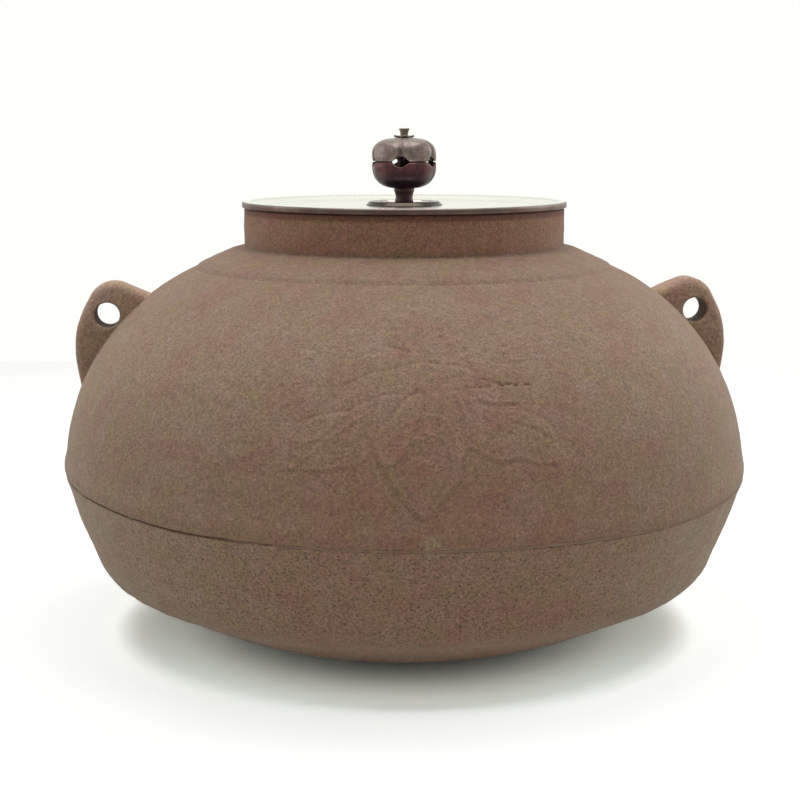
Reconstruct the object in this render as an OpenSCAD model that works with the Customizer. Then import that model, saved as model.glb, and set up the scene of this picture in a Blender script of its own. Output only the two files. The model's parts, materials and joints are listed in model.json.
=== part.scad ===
// Chagama: a cast-iron kettle that heats the water for tea, with a bronze lid and a pierced bell knob.
// Lengths are in millimetres. The origin is the centre of the base, +Z is up and the lugs lie along X.

/* [Upper body] */
// Outside diameter of the rounded shoulder, without the lip over the waist seam
body_d = 250; // [236:1:264]
// Height of the waist seam above the table
waist_z = 59.5; // [54:0.5:66]
// Height of the shoulder's centre above the waist seam
belly_rise = 2.5; // [0.5:0.5:5]
// Radius of the rounded shoulder, seen in section
shoulder_r = 79.3; // [76:0.1:84]
// Distance of the lip's corner outside the shoulder's diameter
lip_out = 0.9; // [0.5:0.1:1.4]
// Height of the lip's corner above the waist seam
lip_h = 2.5; // [2:0.1:4]
// Inset of the seam's edge from the lip's corner
lip_tuck = 0.6; // [0.3:0.1:1]
// Rounding of the lip's corner
lip_round = 8; // [4:0.5:10]
// Direction from the shoulder's centre in which the lip starts, above the horizontal, in degrees
lip_angle = 7; // [5:0.5:8]
// Wall thickness of the two castings
wall = 3.5; // [3:0.25:5]

/* [Neck] */
// Outside diameter of the neck
neck_d = 117.4; // [108:0.2:126]
// Thickness of the neck's wall
neck_wall = 5.5; // [4.5:0.5:7]
// Height of the neck above its foot
neck_h = 14.6; // [12:0.2:18]
// Rounding at the neck's foot
neck_fillet = 4; // [1:0.5:6]
// Rounding of the mouth's outer edge
mouth_edge = 0.8; // [0.4:0.1:1.5]
// Diameter of the raised collar round the neck
collar_d = 150.6; // [142:0.2:160]
// Height of the small step at the collar's edge
collar_step = 0.8; // [0.4:0.1:1.6]
// Rise of the collar from its edge to the neck's foot
collar_rise = 5.6; // [4:0.1:7]

/* [Bottom] */
// Slope of the lower wall from the vertical, in degrees
taper_angle = 21.3; // [14:0.1:24]
// Slope of the underside from the table, in degrees
under_angle = 26.5; // [23:0.5:29]
// Diameter at which the underside's slope would reach the table
under_d = 123.6; // [118:0.2:130]
// Rounding where the lower wall turns under
knee_r = 16; // [8:1:22]
// Rounding from the underside into the flat base
base_r = 110; // [90:1:120]
// Height of the luted seam between the castings
seam_gap = 0.7; // [0.4:0.1:1.5]
// Depth of the lute below the surface
lute_recess = 0.6; // [0.2:0.1:1.2]
// Height of the spigot that centres the bottom in the upper body
spigot_h = 8; // [5:0.5:12]
// Wall of the spigot
spigot_wall = 3; // [2:0.5:4]
// Play between the spigot and the upper body
spigot_play = 0.5; // [0.4:0.1:1]

/* [Lugs] */
// Diameter of the hole for the lifting ring
lug_hole_d = 9; // [7:0.1:9.2]
// Distance of the hole's centre outside the shoulder
lug_standoff = 5.2; // [5.1:0.1:7]
// Direction of the hole from the shoulder's centre, above the horizontal, in degrees
lug_angle = 41.7; // [38:0.1:45]
// Thickness of the lug along its hole
lug_t = 13; // [11.5:0.5:16]
// Rounding of the lug's edges
lug_edge = 3; // [1.5:0.5:4]
// Bevel at the two ends of the hole
lug_bevel = 0.6; // [0.4:0.1:0.8]
// Height of the ear's upper corner above the hole, before rounding
ear_top_h = 14.6; // [13:0.1:17]
// Distance of the ear's upper corner outside the hole
ear_top_out = 1.9; // [1:0.1:4]
// Depth of the ear's side corner below the hole
ear_side_drop = 6.6; // [5:0.1:9]
// Distance of the ear's side corner outside the hole
ear_side_out = 13.5; // [12:0.1:15]
// Slope of the ear's top edge, in degrees
ear_top_slope = 23.5; // [18:0.5:27]
// Slope of the ear's tail from the vertical, in degrees
ear_tail_slope = 9.5; // [7:0.5:14]
// Rounding of the ear's upper corner
ear_head_r = 9.5; // [6:0.5:11]
// Rounding of the ear's side corner
ear_side_r = 34; // [20:1:38]
// Diameter of the tenon that is cast into the wall
tenon_d = 9; // [7:0.5:10]
// Depth of the tenon in the wall
tenon_depth = 2.2; // [1.5:0.1:2.6]

/* [Sound plates] */
// Length of an iron sound plate on the floor inside
plate_l = 24; // [20:1:28]
// Width of a sound plate
plate_w = 13; // [10:0.5:15]
// Thickness of a sound plate
plate_t = 1.8; // [1.2:0.1:3]
// Distance of the sound plates from the kettle's axis
plate_ring_r = 20; // [18:0.5:22]
// Gap under a sound plate, where the water sings
plate_gap = 1.4; // [0.8:0.1:2.5]
// Diameter of the lute pads that hold a plate at its ends
pad_d = 7; // [5:0.5:9]

/* [Lid] */
// Overhang of the lid beyond the neck
lid_overhang = 0.8; // [0.4:0.1:2]
// Thickness of the lid's rim
lid_rim_t = 2.3; // [2:0.1:3.5]
// Width of the raised rim
lid_rim_w = 3; // [2:0.2:4]
// Rounding of the rim's edges
lid_edge = 0.8; // [0.3:0.1:0.9]
// Thickness of the sunken panel
lid_panel_t = 1.6; // [1.2:0.1:2.2]
// Depth of the panel's underside below the mouth
lid_hang = 0.9; // [0.4:0.1:1.2]
// Play between the locating ring and the mouth
lid_play = 0.8; // [0.4:0.1:1.5]
// Depth of the locating ring below the panel
lid_ring_h = 7; // [4:0.5:10]
// Wall of the locating ring
lid_ring_wall = 1.6; // [1.2:0.1:2.5]

/* [Knob seat and stem] */
// Diameter of the round seat under the knob
seat_d = 28; // [24:0.5:32]
// Thickness of the seat's dished middle
seat_t = 0.7; // [0.5:0.1:1.2]
// Thickness of the seat's outer edge
seat_edge_t = 0.3; // [0.2:0.1:0.6]
// Height of the seat's raised ring
seat_rim_h = 1.5; // [1.4:0.1:2.2]
// Outside diameter of the raised ring, from which the seat slopes to its edge
seat_ring_d = 23.2; // [20:0.2:25]
// Width of the raised ring
seat_rim_w = 1.6; // [1.2:0.1:2.4]
// Height of the stem between seat and bell
stem_h = 5.5; // [4:0.1:8]
// Diameter of the stem's foot
stem_foot_d = 6.2; // [5.4:0.1:7]
// Diameter of the stem's collar under the bell
stem_collar_d = 7.5; // [6.6:0.1:8.4]
// Thickness of the stem's foot and of its collar
stem_ledge = 1; // [0.6:0.1:1.5]
// Hollowing of the stem's waist
stem_hollow = 0.4; // [0:0.1:0.8]

/* [Bell] */
// Diameter of the bell
bell_d = 23.8; // [21:0.2:26]
// Height of the lower shell
bell_low_h = 9.6; // [8:0.1:11]
// Height of the upper shell
bell_top_h = 8.3; // [7:0.1:10]
// Squareness of the lower shell's outline: 2 is an ellipse
bell_low_n = 2.5; // [2.2:0.1:3]
// Squareness of the upper shell's outline
bell_top_n = 3.3; // [2.6:0.1:3.6]
// Wall of the two shells
bell_wall = 1.1; // [0.8:0.1:1.5]
// Slit between the two shells
bell_slit = 0.6; // [0.3:0.1:1]
// Thickness of the lap inside the slit, which centres the upper shell on the lower one
lap_t = 0.6; // [0.4:0.1:1]
// Height of the lap inside the upper shell
lap_h = 1.2; // [0.8:0.1:1.5]
// Depth of the lap's foot below the lower shell's rim
lap_foot = 0.9; // [0.6:0.1:1.3]
// Play between the lap and the upper shell
lap_play = 0.1; // [0.05:0.05:0.2]
// Setback of the lap from the edges of an opening
lap_back = 0.15; // [0.1:0.05:0.4]
// Number of openings round the bell
opening_count = 5; // [3:1:6]
// Direction of the first opening, from the front towards the right, in degrees
opening_turn = -11.8; // [-36:0.1:36]
// Width of an opening along the slit
opening_w = 7; // [5:0.1:8]
// Depth of an opening in each shell
opening_h = 1.6; // [1:0.1:2.4]
// Width of an opening at its two tips
opening_tip = 1.2; // [0.6:0.1:2]
// Width of the groove above an opening
groove_w = 3; // [2:0.1:4]
// Depth of the groove above an opening
groove_depth = 0.5; // [0.3:0.1:0.6]

/* [Rod] */
// Diameter of the rod that holds the knob together
rod_d = 2.2; // [1.8:0.1:2.6]
// Running clearance round the rod
rod_clearance = 0.08; // [0.05:0.01:0.1]
// Outside diameter of the tube round the rod inside the bell
spacer_d = 5; // [4:0.1:6]
// Diameter of the thin washer on top of the bell
calyx_d = 7.6; // [6:0.1:9]
// Thickness of the thin washer
calyx_t = 0.4; // [0.3:0.1:0.8]
// Upturn of the thin washer's edge
calyx_lift = 0.4; // [0.2:0.1:0.8]
// Diameter of the rod's flared tip
tip_d = 4; // [3.4:0.1:5]
// Height of the rod's flared tip
tip_h = 3; // [2:0.1:4]
// Diameter of the washer under the lid
back_washer_d = 8; // [6:0.5:11]
// Thickness of the washer under the lid
back_washer_t = 0.8; // [0.5:0.1:1.5]
// Up-and-down play of the knob in the lid
knob_play = 0.1; // [0.05:0.05:0.3]
// Diameter of the rod's hammered end
peen_d = 4; // [3.2:0.1:5]
// Height of the rod's hammered end
peen_h = 1.2; // [0.8:0.1:2]

/* [Hidden] */
$fn = 120;
// Angle between the points of an arc
arc_step = 4;
// Gap between a cast-in tenon and the metal round it
cast_gap = 0.05;
// Overshoot of a cut past the face that it opens
over = 1;

// Upper body, from its section
body_r = body_d / 2;
neck_r = neck_d / 2;
collar_r = collar_d / 2;
mouth_r = neck_r - neck_wall;
shoulder_c = [body_r - shoulder_r, waist_z + belly_rise];
function shoulder_z(r) = shoulder_c[1] + sqrt(pow(shoulder_r, 2) - pow(r - shoulder_c[0], 2));
wall_in_r = shoulder_c[0] + sqrt(pow(shoulder_r, 2) - pow(belly_rise, 2)) - wall;
lip_corner = [body_r + lip_out, waist_z + lip_h];
lip_top = shoulder_c + shoulder_r * [cos(lip_angle), sin(lip_angle)];
waist_r = lip_corner[0] - lip_tuck;
collar_z = shoulder_z(collar_r) + collar_step;
neck_foot_z = collar_z + collar_rise;
mouth_z = neck_foot_z + neck_h;

// Bottom, up to the face under the seam
seam_z = waist_z - seam_gap;
spigot_r = wall_in_r - spigot_play;

// Lid
lid_r = neck_r + lid_overhang;
lid_rim_z = mouth_z + lid_rim_t;
lid_panel_z = mouth_z - lid_hang;
lid_top_z = lid_panel_z + lid_panel_t;
lid_dish = lid_rim_z - lid_top_z;
lid_ring_r = mouth_r - lid_play;

// Knob, from the lid's panel up
rod_r = rod_d / 2;
hole_r = rod_r + rod_clearance;
stem_z = lid_top_z + seat_t;
bell_z = stem_z + stem_h;
bell_r = bell_d / 2;
stem_collar_r = stem_collar_d / 2;
spacer_r = spacer_d / 2;
calyx_r = calyx_d / 2;
bell_in_r = bell_r - bell_wall;
lap_r = bell_in_r - lap_play;
low_rim_z = bell_z + bell_flat_h(bell_r, bell_low_h, stem_collar_r, bell_low_n);
top_rim_z = low_rim_z + bell_slit;
bell_top_z = top_rim_z + bell_flat_h(bell_r, bell_top_h, spacer_r, bell_top_n);
spacer_bottom_z = low_rim_z - bell_flat_h(bell_in_r, bell_low_h - bell_wall, spacer_r, bell_low_n);
spacer_top_z = top_rim_z + bell_flat_h(bell_in_r, bell_top_h - bell_wall, spacer_r, bell_top_n);
tip_z = bell_top_z + calyx_t;
back_washer_z = lid_panel_z - knob_play - back_washer_t;

// Lug, about its hole
lug_c = shoulder_c + (shoulder_r + lug_standoff) * [cos(lug_angle), sin(lug_angle)];

iron_brown = [0.42, 0.32, 0.26];
iron_grey_brown = [0.38, 0.31, 0.25];
lute_dark = [0.16, 0.13, 0.11];
bronze_pale = [0.62, 0.58, 0.52];
bronze_dark = [0.22, 0.15, 0.15];
bronze_grey = [0.40, 0.35, 0.33];
copper_tan = [0.52, 0.42, 0.32];

// Unit vector along v
function unit(v) = v / norm(v);
// Where the line through p at angle a crosses the line through q at angle b
function meet(p, a, q, b) =
    let (d = [cos(a), sin(a)], e = [cos(b), sin(b)], w = q - p)
    p + d * (w[0] * e[1] - w[1] * e[0]) / (d[0] * e[1] - d[1] * e[0]);
// Points of the arc of radius r that rounds the corner c between p and q
function rounded(p, c, q, r) =
    let (
        u = unit(p - c),
        v = unit(q - c),
        half = acos(u * v) / 2,
        centre = c + unit(u + v) * r / sin(half),
        first = c + u * r / tan(half) - centre,
        last = c + v * r / tan(half) - centre,
        start = atan2(first[1], first[0]),
        turn = atan2(last[1], last[0]) - start,
        sweep = turn > 180 ? turn - 360 : turn < -180 ? turn + 360 : turn,
        steps = ceil(abs(sweep) / arc_step)
    )
    [for (i = [0 : steps]) centre + r * [cos(start + sweep * i / steps), sin(start + sweep * i / steps)]];
// A list in the other order
function turned_round(points) = [for (i = [len(points) - 1 : -1 : 0]) points[i]];

// Section of the bottom's skin at a depth below its outside, from the axis to the height z_end
function pan_skin(depth, z_end) =
    let (
        wall_angle = 90 - taper_angle,
        waist = [waist_r, seam_z] + depth * [-cos(taper_angle), sin(taper_angle)],
        slope = [under_d / 2, 0] + depth * [-sin(under_angle), cos(under_angle)],
        axis = [0, depth],
        base = meet(axis, 0, slope, under_angle),
        knee = meet(slope, under_angle, waist, wall_angle),
        end = meet(waist, wall_angle, [0, z_end], 0)
    )
    concat(
        [axis],
        rounded(axis, base, knee, base_r - depth),
        rounded(base, knee, end, knee_r - depth),
        [end]
    );

// Height of a bell shell of squareness n from its rim to the flat of radius flat_r at its pole
function bell_flat_h(r, h, flat_r, n) = h * pow(1 - pow(flat_r / r, n), 1 / n);
// Side of a bell shell of radius r, height h and squareness n, from its rim to the flat at its pole
function bell_side(r, h, flat_r, n) =
    let (end = acos(pow(flat_r / r, n / 2)), steps = ceil(end / arc_step))
    [for (i = [0 : steps]) [
        r * pow(cos(end * i / steps), 2 / n),
        h * pow(sin(end * i / steps), 2 / n)
    ]];
// Section of a bell shell, rim at height 0 and pole above, closed on the rod
function bell_section(h, flat_r, n) =
    let (
        outside = bell_side(bell_r, h, flat_r, n),
        inside = bell_side(bell_in_r, h - bell_wall, spacer_r, n),
        top = bell_flat_h(bell_r, h, flat_r, n),
        under = bell_flat_h(bell_in_r, h - bell_wall, spacer_r, n)
    )
    concat(outside, [[hole_r, top], [hole_r, under]], turned_round(inside));

// Solid of the shoulder's outside, grown by a gap
module shoulder_block(gap) {
    rotate_extrude()
        intersection() {
            translate(shoulder_c)
                circle(shoulder_r + gap);
            translate([0, waist_z])
                square([body_r + over, shoulder_c[1] + shoulder_r]);
        }
}

// Tenon at a lug's root, square to the wall, with a gap round it
module tenon(gap, reach) {
    translate([shoulder_c[0], 0, shoulder_c[1]])
        rotate([0, 90 - lug_angle, 0])
            translate([0, 0, shoulder_r - tenon_depth - gap])
                cylinder(d = tenon_d + 2 * gap, h = tenon_depth + gap + reach);
}

// Outside of the neck and its collar, from the collar's edge to the mouth
function neck_outside() =
    let (
        edge = [collar_r, collar_z],
        foot = [neck_r, neck_foot_z],
        rim = [neck_r, mouth_z]
    )
    concat(
        [[collar_r, collar_z - collar_step], edge],
        rounded(edge, foot, rim, neck_fillet),
        rounded(foot, rim, [mouth_r, mouth_z], mouth_edge)
    );

// Section of the lip over the waist seam, which leans out from the shoulder and tucks under
module lip_section() {
    seam_edge = [waist_r, waist_z];
    start = lip_top + wall * unit(lip_top - lip_corner);
    polygon(concat(
        [start],
        rounded(start, lip_corner, seam_edge, lip_round),
        [seam_edge, [wall_in_r + wall / 2, waist_z]]
    ));
}

// Section of the upper body: lip, shoulder, collar and neck, hollowed along the shoulder's own curve
module upper_section() {
    difference() {
        union() {
            lip_section();
            intersection() {
                translate(shoulder_c)
                    circle(shoulder_r);
                translate([mouth_r, waist_z])
                    square([body_r, shoulder_z(collar_r) - waist_z]);
            }
            polygon(concat(
                [[mouth_r, shoulder_z(collar_r) - wall], [collar_r, shoulder_z(collar_r) - wall]],
                neck_outside(),
                [[mouth_r, mouth_z]]
            ));
        }
        translate(shoulder_c)
            circle(shoulder_r - wall);
    }
}

module upper_body() {
    color(iron_brown)
        difference() {
            rotate_extrude()
                upper_section();
            tenon(cast_gap, over);
            mirror([1, 0, 0])
                tenon(cast_gap, over);
        }
}

module bottom() {
    inner = pan_skin(wall, seam_z);
    spigot_in = spigot_r - spigot_wall;
    spigot_foot = meet(inner[len(inner) - 1], 90 - taper_angle, [spigot_in, 0], 90);
    inner_below = [for (p = inner) if (p[1] < spigot_foot[1]) p];
    color(iron_grey_brown)
        rotate_extrude()
            polygon(concat(
                pan_skin(0, seam_z),
                [
                    [spigot_r, seam_z],
                    [spigot_r, waist_z + spigot_h],
                    [spigot_in, waist_z + spigot_h],
                    spigot_foot
                ],
                turned_round(inner_below)
            ));
}

module seam_lute() {
    color(lute_dark)
        translate([0, 0, seam_z])
            difference() {
                cylinder(r = waist_r - lute_recess, h = seam_gap);
                translate([0, 0, -over])
                    cylinder(r = wall_in_r, h = seam_gap + 2 * over);
            }
}

// Side view of an ear, whose two edges run on to end inside the wall
module ear_outline() {
    root_l = shoulder_r / 3;
    top = lug_c + [ear_top_out, ear_top_h];
    side = lug_c + [ear_side_out, -ear_side_drop];
    root_top = top - root_l * [cos(ear_top_slope), sin(ear_top_slope)];
    root_low = side - root_l * [sin(ear_tail_slope), cos(ear_tail_slope)];
    polygon(concat(
        [root_low],
        rounded(root_low, side, top, ear_side_r),
        rounded(side, top, root_top, ear_head_r),
        [root_top]
    ));
}

// Ear with edges rounded by layers of growing thickness and shrinking outline
module ear() {
    rotate([90, 0, 0])
        hull()
            for (turn = [0 : 30 : 90])
                linear_extrude(height = lug_t - 2 * lug_edge * (1 - sin(turn)), center = true)
                    offset(delta = -lug_edge * (1 - cos(turn)))
                        ear_outline();
}

// Hole through a lug, along Y, bevelled at both ends
module ring_hole() {
    cut = lug_bevel + over;
    translate([lug_c[0], 0, lug_c[1]])
        rotate([90, 0, 0]) {
            cylinder(d = lug_hole_d, h = lug_t + 2 * over, center = true);
            for (flip = [0, 1])
                mirror([0, 0, flip])
                    translate([0, 0, lug_t / 2 - lug_bevel])
                        cylinder(d1 = lug_hole_d, d2 = lug_hole_d + 2 * cut, h = cut);
        }
}

module lug() {
    color(iron_brown)
        difference() {
            union() {
                difference() {
                    ear();
                    shoulder_block(cast_gap);
                }
                tenon(0, over);
            }
            ring_hole();
        }
}

module left_lug() {
    mirror([1, 0, 0])
        lug();
}

module right_lug() {
    lug();
}

// Place of sound plate number i on the floor inside
module at_plate(i) {
    rotate([0, 0, 120 * i - 30])
        translate([plate_ring_r, 0, wall])
            children();
}

module sound_plate(i) {
    color(iron_grey_brown)
        at_plate(i)
            translate([-plate_w / 2, -plate_l / 2, plate_gap])
                cube([plate_w, plate_l, plate_t]);
}

module sound_plate_lute() {
    color(lute_dark)
        for (i = [1 : 3])
            at_plate(i)
                for (end = [-1, 1])
                    translate([0, end * (plate_l - pad_d) / 2, 0])
                        cylinder(d = pad_d, h = plate_gap);
}

module lid_plate() {
    rim_in = lid_r - lid_rim_w;
    low = [lid_r, mouth_z];
    high = [lid_r, lid_rim_z];
    inner = [rim_in, lid_rim_z];
    color(bronze_pale)
        rotate_extrude()
            polygon(concat(
                [[hole_r, lid_panel_z], [lid_ring_r, lid_panel_z], [lid_ring_r, mouth_z]],
                rounded([lid_ring_r, mouth_z], low, high, lid_edge),
                rounded(low, high, inner, lid_edge),
                rounded(high, inner, [rim_in - lid_dish, lid_top_z], lid_edge),
                [[rim_in - lid_dish, lid_top_z], [hole_r, lid_top_z]]
            ));
}

module lid_ring() {
    color(bronze_pale)
        translate([0, 0, lid_panel_z - lid_ring_h])
            difference() {
                cylinder(r = lid_ring_r, h = lid_ring_h);
                translate([0, 0, -over])
                    cylinder(r = lid_ring_r - lid_ring_wall, h = lid_ring_h + 2 * over);
            }
}

module knob_seat() {
    seat_r = seat_d / 2;
    ring_r = seat_ring_d / 2;
    ring_in = ring_r - seat_rim_w;
    rise = seat_rim_h - seat_t;
    color(bronze_grey)
        translate([0, 0, lid_top_z])
            rotate_extrude()
                polygon([
                    [hole_r, 0],
                    [seat_r, 0],
                    [seat_r, seat_edge_t],
                    [ring_r, seat_rim_h],
                    [ring_in, seat_rim_h],
                    [ring_in - rise, seat_t],
                    [hole_r, seat_t]
                ]);
}

module knob_stem() {
    foot_r = stem_foot_d / 2;
    waist_h = stem_h - 2 * stem_ledge;
    steps = 8;
    color(bronze_dark)
        translate([0, 0, stem_z])
            rotate_extrude()
                polygon(concat(
                    [[hole_r, 0], [foot_r, 0]],
                    [for (i = [0 : steps])
                        let (t = i / steps)
                        [
                            foot_r + (stem_collar_r - foot_r) * t * t - stem_hollow * sin(180 * t),
                            stem_ledge + waist_h * t
                        ]
                    ],
                    [[stem_collar_r, stem_h], [hole_r, stem_h]]
                ));
}

// Cuts through a shell's rim that narrow towards its pole, which is above (1) or below (-1)
module openings(rim_z, pole) {
    half_tip = opening_tip / 2;
    half_foot = half_tip + (opening_w / 2 - half_tip) * (opening_h + over) / opening_h;
    for (i = [0 : opening_count - 1])
        rotate([0, 0, -90 + opening_turn + 360 * i / opening_count])
            translate([spacer_r + bell_wall, 0, rim_z])
                rotate([90, 0, 90])
                    linear_extrude(bell_r)
                        polygon([
                            [-half_foot, -pole * over],
                            [half_foot, -pole * over],
                            [half_tip, pole * opening_h],
                            [-half_tip, pole * opening_h]
                        ]);
}

// Cuts through the lap, one behind each opening and a little wider
module lap_openings() {
    half_w = opening_w / 2 + lap_back;
    half_tip = opening_tip / 2 + lap_back;
    foot_z = low_rim_z - opening_h - lap_back;
    head_z = top_rim_z + opening_h + lap_back;
    for (i = [0 : opening_count - 1])
        rotate([0, 0, -90 + opening_turn + 360 * i / opening_count])
            translate([lap_r - 2 * lap_t, 0, 0])
                rotate([90, 0, 90])
                    linear_extrude(bell_wall + 2 * lap_t)
                        polygon([
                            [-half_tip, foot_z],
                            [half_tip, foot_z],
                            [half_w, low_rim_z],
                            [half_w, top_rim_z],
                            [half_tip, head_z],
                            [-half_tip, head_z],
                            [-half_w, top_rim_z],
                            [-half_w, low_rim_z]
                        ]);
}

// Lap that stands up inside the slit, rooted in the lower shell's wall
module bell_lap() {
    root_r = bell_r - bell_wall / 2;
    difference() {
        rotate_extrude()
            polygon([
                [lap_r - lap_t, low_rim_z - lap_foot],
                [root_r, low_rim_z - lap_foot],
                [root_r, low_rim_z - lap_play],
                [lap_r, low_rim_z - lap_play],
                [lap_r, top_rim_z + lap_h],
                [lap_r - lap_t, top_rim_z + lap_h]
            ]);
        lap_openings();
    }
}

module knob_lower_shell() {
    color(bronze_dark)
        union() {
            difference() {
                translate([0, 0, low_rim_z])
                    mirror([0, 0, 1])
                        rotate_extrude()
                            polygon(bell_section(bell_low_h, stem_collar_r, bell_low_n));
                openings(low_rim_z, -1);
            }
            bell_lap();
        }
}

// Upright V-shaped cuts down the side of the upper shell, one above each opening
module grooves() {
    bottom_r = bell_r - groove_depth;
    for (i = [0 : opening_count - 1])
        rotate([0, 0, -90 + opening_turn + 360 * i / opening_count])
            translate([0, 0, top_rim_z - over])
                linear_extrude(bell_top_h + over)
                    polygon([
                        [bottom_r, 0],
                        [bottom_r + over, -groove_w / 2 * over / groove_depth],
                        [bottom_r + over, groove_w / 2 * over / groove_depth]
                    ]);
}

module knob_upper_shell() {
    color(bronze_grey)
        difference() {
            translate([0, 0, top_rim_z])
                rotate_extrude()
                    polygon(bell_section(bell_top_h, spacer_r, bell_top_n));
            openings(top_rim_z, 1);
            grooves();
        }
}

module knob_spacer() {
    color(bronze_dark)
        translate([0, 0, spacer_bottom_z])
            difference() {
                cylinder(r = spacer_r, h = spacer_top_z - spacer_bottom_z);
                translate([0, 0, -over])
                    cylinder(r = hole_r, h = spacer_top_z - spacer_bottom_z + 2 * over);
            }
}

module tip_washer() {
    color(bronze_grey)
        translate([0, 0, bell_top_z])
            rotate_extrude()
                polygon([
                    [hole_r, 0],
                    [spacer_r, 0],
                    [calyx_r, calyx_lift],
                    [calyx_r, calyx_lift + calyx_t],
                    [spacer_r, calyx_t],
                    [hole_r, calyx_t]
                ]);
}

module knob_rod() {
    tip_r = tip_d / 2;
    peen_r = peen_d / 2;
    cup = tip_h / 5;
    color(copper_tan)
        rotate_extrude()
            polygon([
                [0, back_washer_z - peen_h],
                [peen_r / 2, back_washer_z - peen_h],
                [peen_r, back_washer_z - peen_h / 2],
                [peen_r, back_washer_z],
                [rod_r, back_washer_z],
                [rod_r, tip_z + tip_h / 4],
                [tip_r, tip_z + tip_h],
                [tip_r - cup, tip_z + tip_h],
                [0, tip_z + tip_h - cup]
            ]);
}

module back_washer() {
    color(bronze_pale)
        translate([0, 0, back_washer_z])
            difference() {
                cylinder(d = back_washer_d, h = back_washer_t);
                translate([0, 0, -over])
                    cylinder(r = hole_r, h = back_washer_t + 2 * over);
            }
}

upper_body();
bottom();
seam_lute();
left_lug();
right_lug();
sound_plate(1);  // sound_plate_1
sound_plate(2);  // sound_plate_2
sound_plate(3);  // sound_plate_3
sound_plate_lute();
lid_plate();
lid_ring();
knob_seat();
knob_stem();
knob_lower_shell();
knob_spacer();
knob_upper_shell();
tip_washer();
knob_rod();
back_washer();
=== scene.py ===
import json
import math

import bpy
import numpy as np
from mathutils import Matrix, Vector, noise

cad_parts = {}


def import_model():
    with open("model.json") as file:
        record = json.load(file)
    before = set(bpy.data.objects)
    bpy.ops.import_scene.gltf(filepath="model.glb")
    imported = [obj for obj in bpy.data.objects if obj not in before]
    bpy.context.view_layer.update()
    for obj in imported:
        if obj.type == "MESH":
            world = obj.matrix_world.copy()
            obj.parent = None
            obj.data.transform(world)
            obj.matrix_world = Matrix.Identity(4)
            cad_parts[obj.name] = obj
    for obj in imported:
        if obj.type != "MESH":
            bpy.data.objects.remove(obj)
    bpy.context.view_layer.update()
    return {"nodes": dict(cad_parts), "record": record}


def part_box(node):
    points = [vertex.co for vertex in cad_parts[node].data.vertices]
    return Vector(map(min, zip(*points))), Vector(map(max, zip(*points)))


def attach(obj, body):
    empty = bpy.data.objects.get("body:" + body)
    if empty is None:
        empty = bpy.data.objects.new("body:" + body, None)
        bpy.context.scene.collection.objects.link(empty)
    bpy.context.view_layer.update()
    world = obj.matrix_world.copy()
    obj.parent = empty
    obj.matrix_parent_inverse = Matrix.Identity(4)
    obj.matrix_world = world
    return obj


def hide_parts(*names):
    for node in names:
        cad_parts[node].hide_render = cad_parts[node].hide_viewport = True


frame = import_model()

# Sizes, in metres. What the frame gives is read from it.
MM = 0.001
BODY_LOW, BODY_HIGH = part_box("upper_body")
PAN_LOW, PAN_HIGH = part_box("bottom")
LID_LOW, LID_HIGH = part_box("lid_plate")
SEAT_LOW, SEAT_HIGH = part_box("knob_seat")
STEM_LOW, STEM_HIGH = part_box("knob_stem")
SHELL_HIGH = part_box("knob_lower_shell")[1]
CROWN_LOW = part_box("knob_upper_shell")[0]
CALYX_LOW, CALYX_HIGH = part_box("tip_washer")
ROD_LOW, ROD_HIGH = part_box("knob_rod")
LUTE_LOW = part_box("seam_lute")[0]

# Upper body
BODY_R = 125 * MM
WAIST_Z = BODY_LOW.z
MOUTH_Z = BODY_HIGH.z
WALL = 3.5 * MM
SHOULDER_R = 79.3 * MM
BELLY_RISE = 2.5 * MM
SHOULDER_C = np.array([BODY_R - SHOULDER_R, WAIST_Z + BELLY_RISE])
INNER_R = SHOULDER_C[0] + math.sqrt(SHOULDER_R**2 - BELLY_RISE**2) - WALL
LIP_CORNER = np.array([BODY_R + 0.9 * MM, WAIST_Z + 2.5 * MM])
LIP_TURN = math.radians(7)
LIP_ROUND = 8 * MM
NECK_R = 58.7 * MM
MOUTH_R = 53.2 * MM
NECK_FOOT_Z = MOUTH_Z - 14.6 * MM
NECK_FILLET = 0.7 * MM
COLLAR_R = 75.3 * MM
COLLAR_Z = NECK_FOOT_Z - 5.6 * MM
COLLAR_BANK = 1.4 * MM
COLLAR_ROUND = 0.6 * MM
COLLAR_CREST = np.array([NECK_R + 4 * MM, NECK_FOOT_Z + 0.05 * MM])
CREST_ROUND = 5 * MM
MOUTH_ROUND = 0.8 * MM
MOUTH_ROUND_IN = 0.5 * MM

# Bottom and seam
WAIST_R = PAN_HIGH.x
SEAM_Z = LUTE_LOW.z
SEAM_TILT = math.radians(0.34)
SEAM_CLOSE = 0.02 * MM
SEAM_BOW = 2.2 * MM
TAPER = math.radians(21.3)
UNDER = math.radians(26.5)
UNDER_R = 61.8 * MM
KNEE_R = 16 * MM
BASE_R = 110 * MM

# The leaf spray is cast a little left of the front
RELIEF_TURN = math.radians(-2.45)
RELIEF_HALF = math.radians(22.5)
RELIEF_COLUMNS = 190

# Lugs: thickness, rounding, and rows of points through the hole and over the bevel at its ends
LUG_HALF = 6.5 * MM
LUG_ROUND = 3 * MM
LUG_BEVEL = 1.0 * MM
BORE_ROWS = 6
BEVEL_ROWS = 5

# Seat and knob
SEAT_RING_R = 12.8 * MM
SEAT_RING_IN = 11.6 * MM
ROD_HOLE_R = 1.18 * MM
SPACER_R = 2.5 * MM
BELL_R = SHELL_HIGH.x
BELL_WALL = 1.1 * MM
BELL_SLIT = 0.6 * MM
LOW_RIM_Z = CROWN_LOW.z - BELL_SLIT
LAP_T = 0.6 * MM
LAP_R = BELL_R - BELL_WALL - 0.1 * MM
OPENINGS = 5
OPENING_TURN = math.radians(-11.8)
OPENING_W = 7 * MM
OPENING_TIP = 1.2 * MM
OPENING_H = 1.6 * MM


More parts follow.
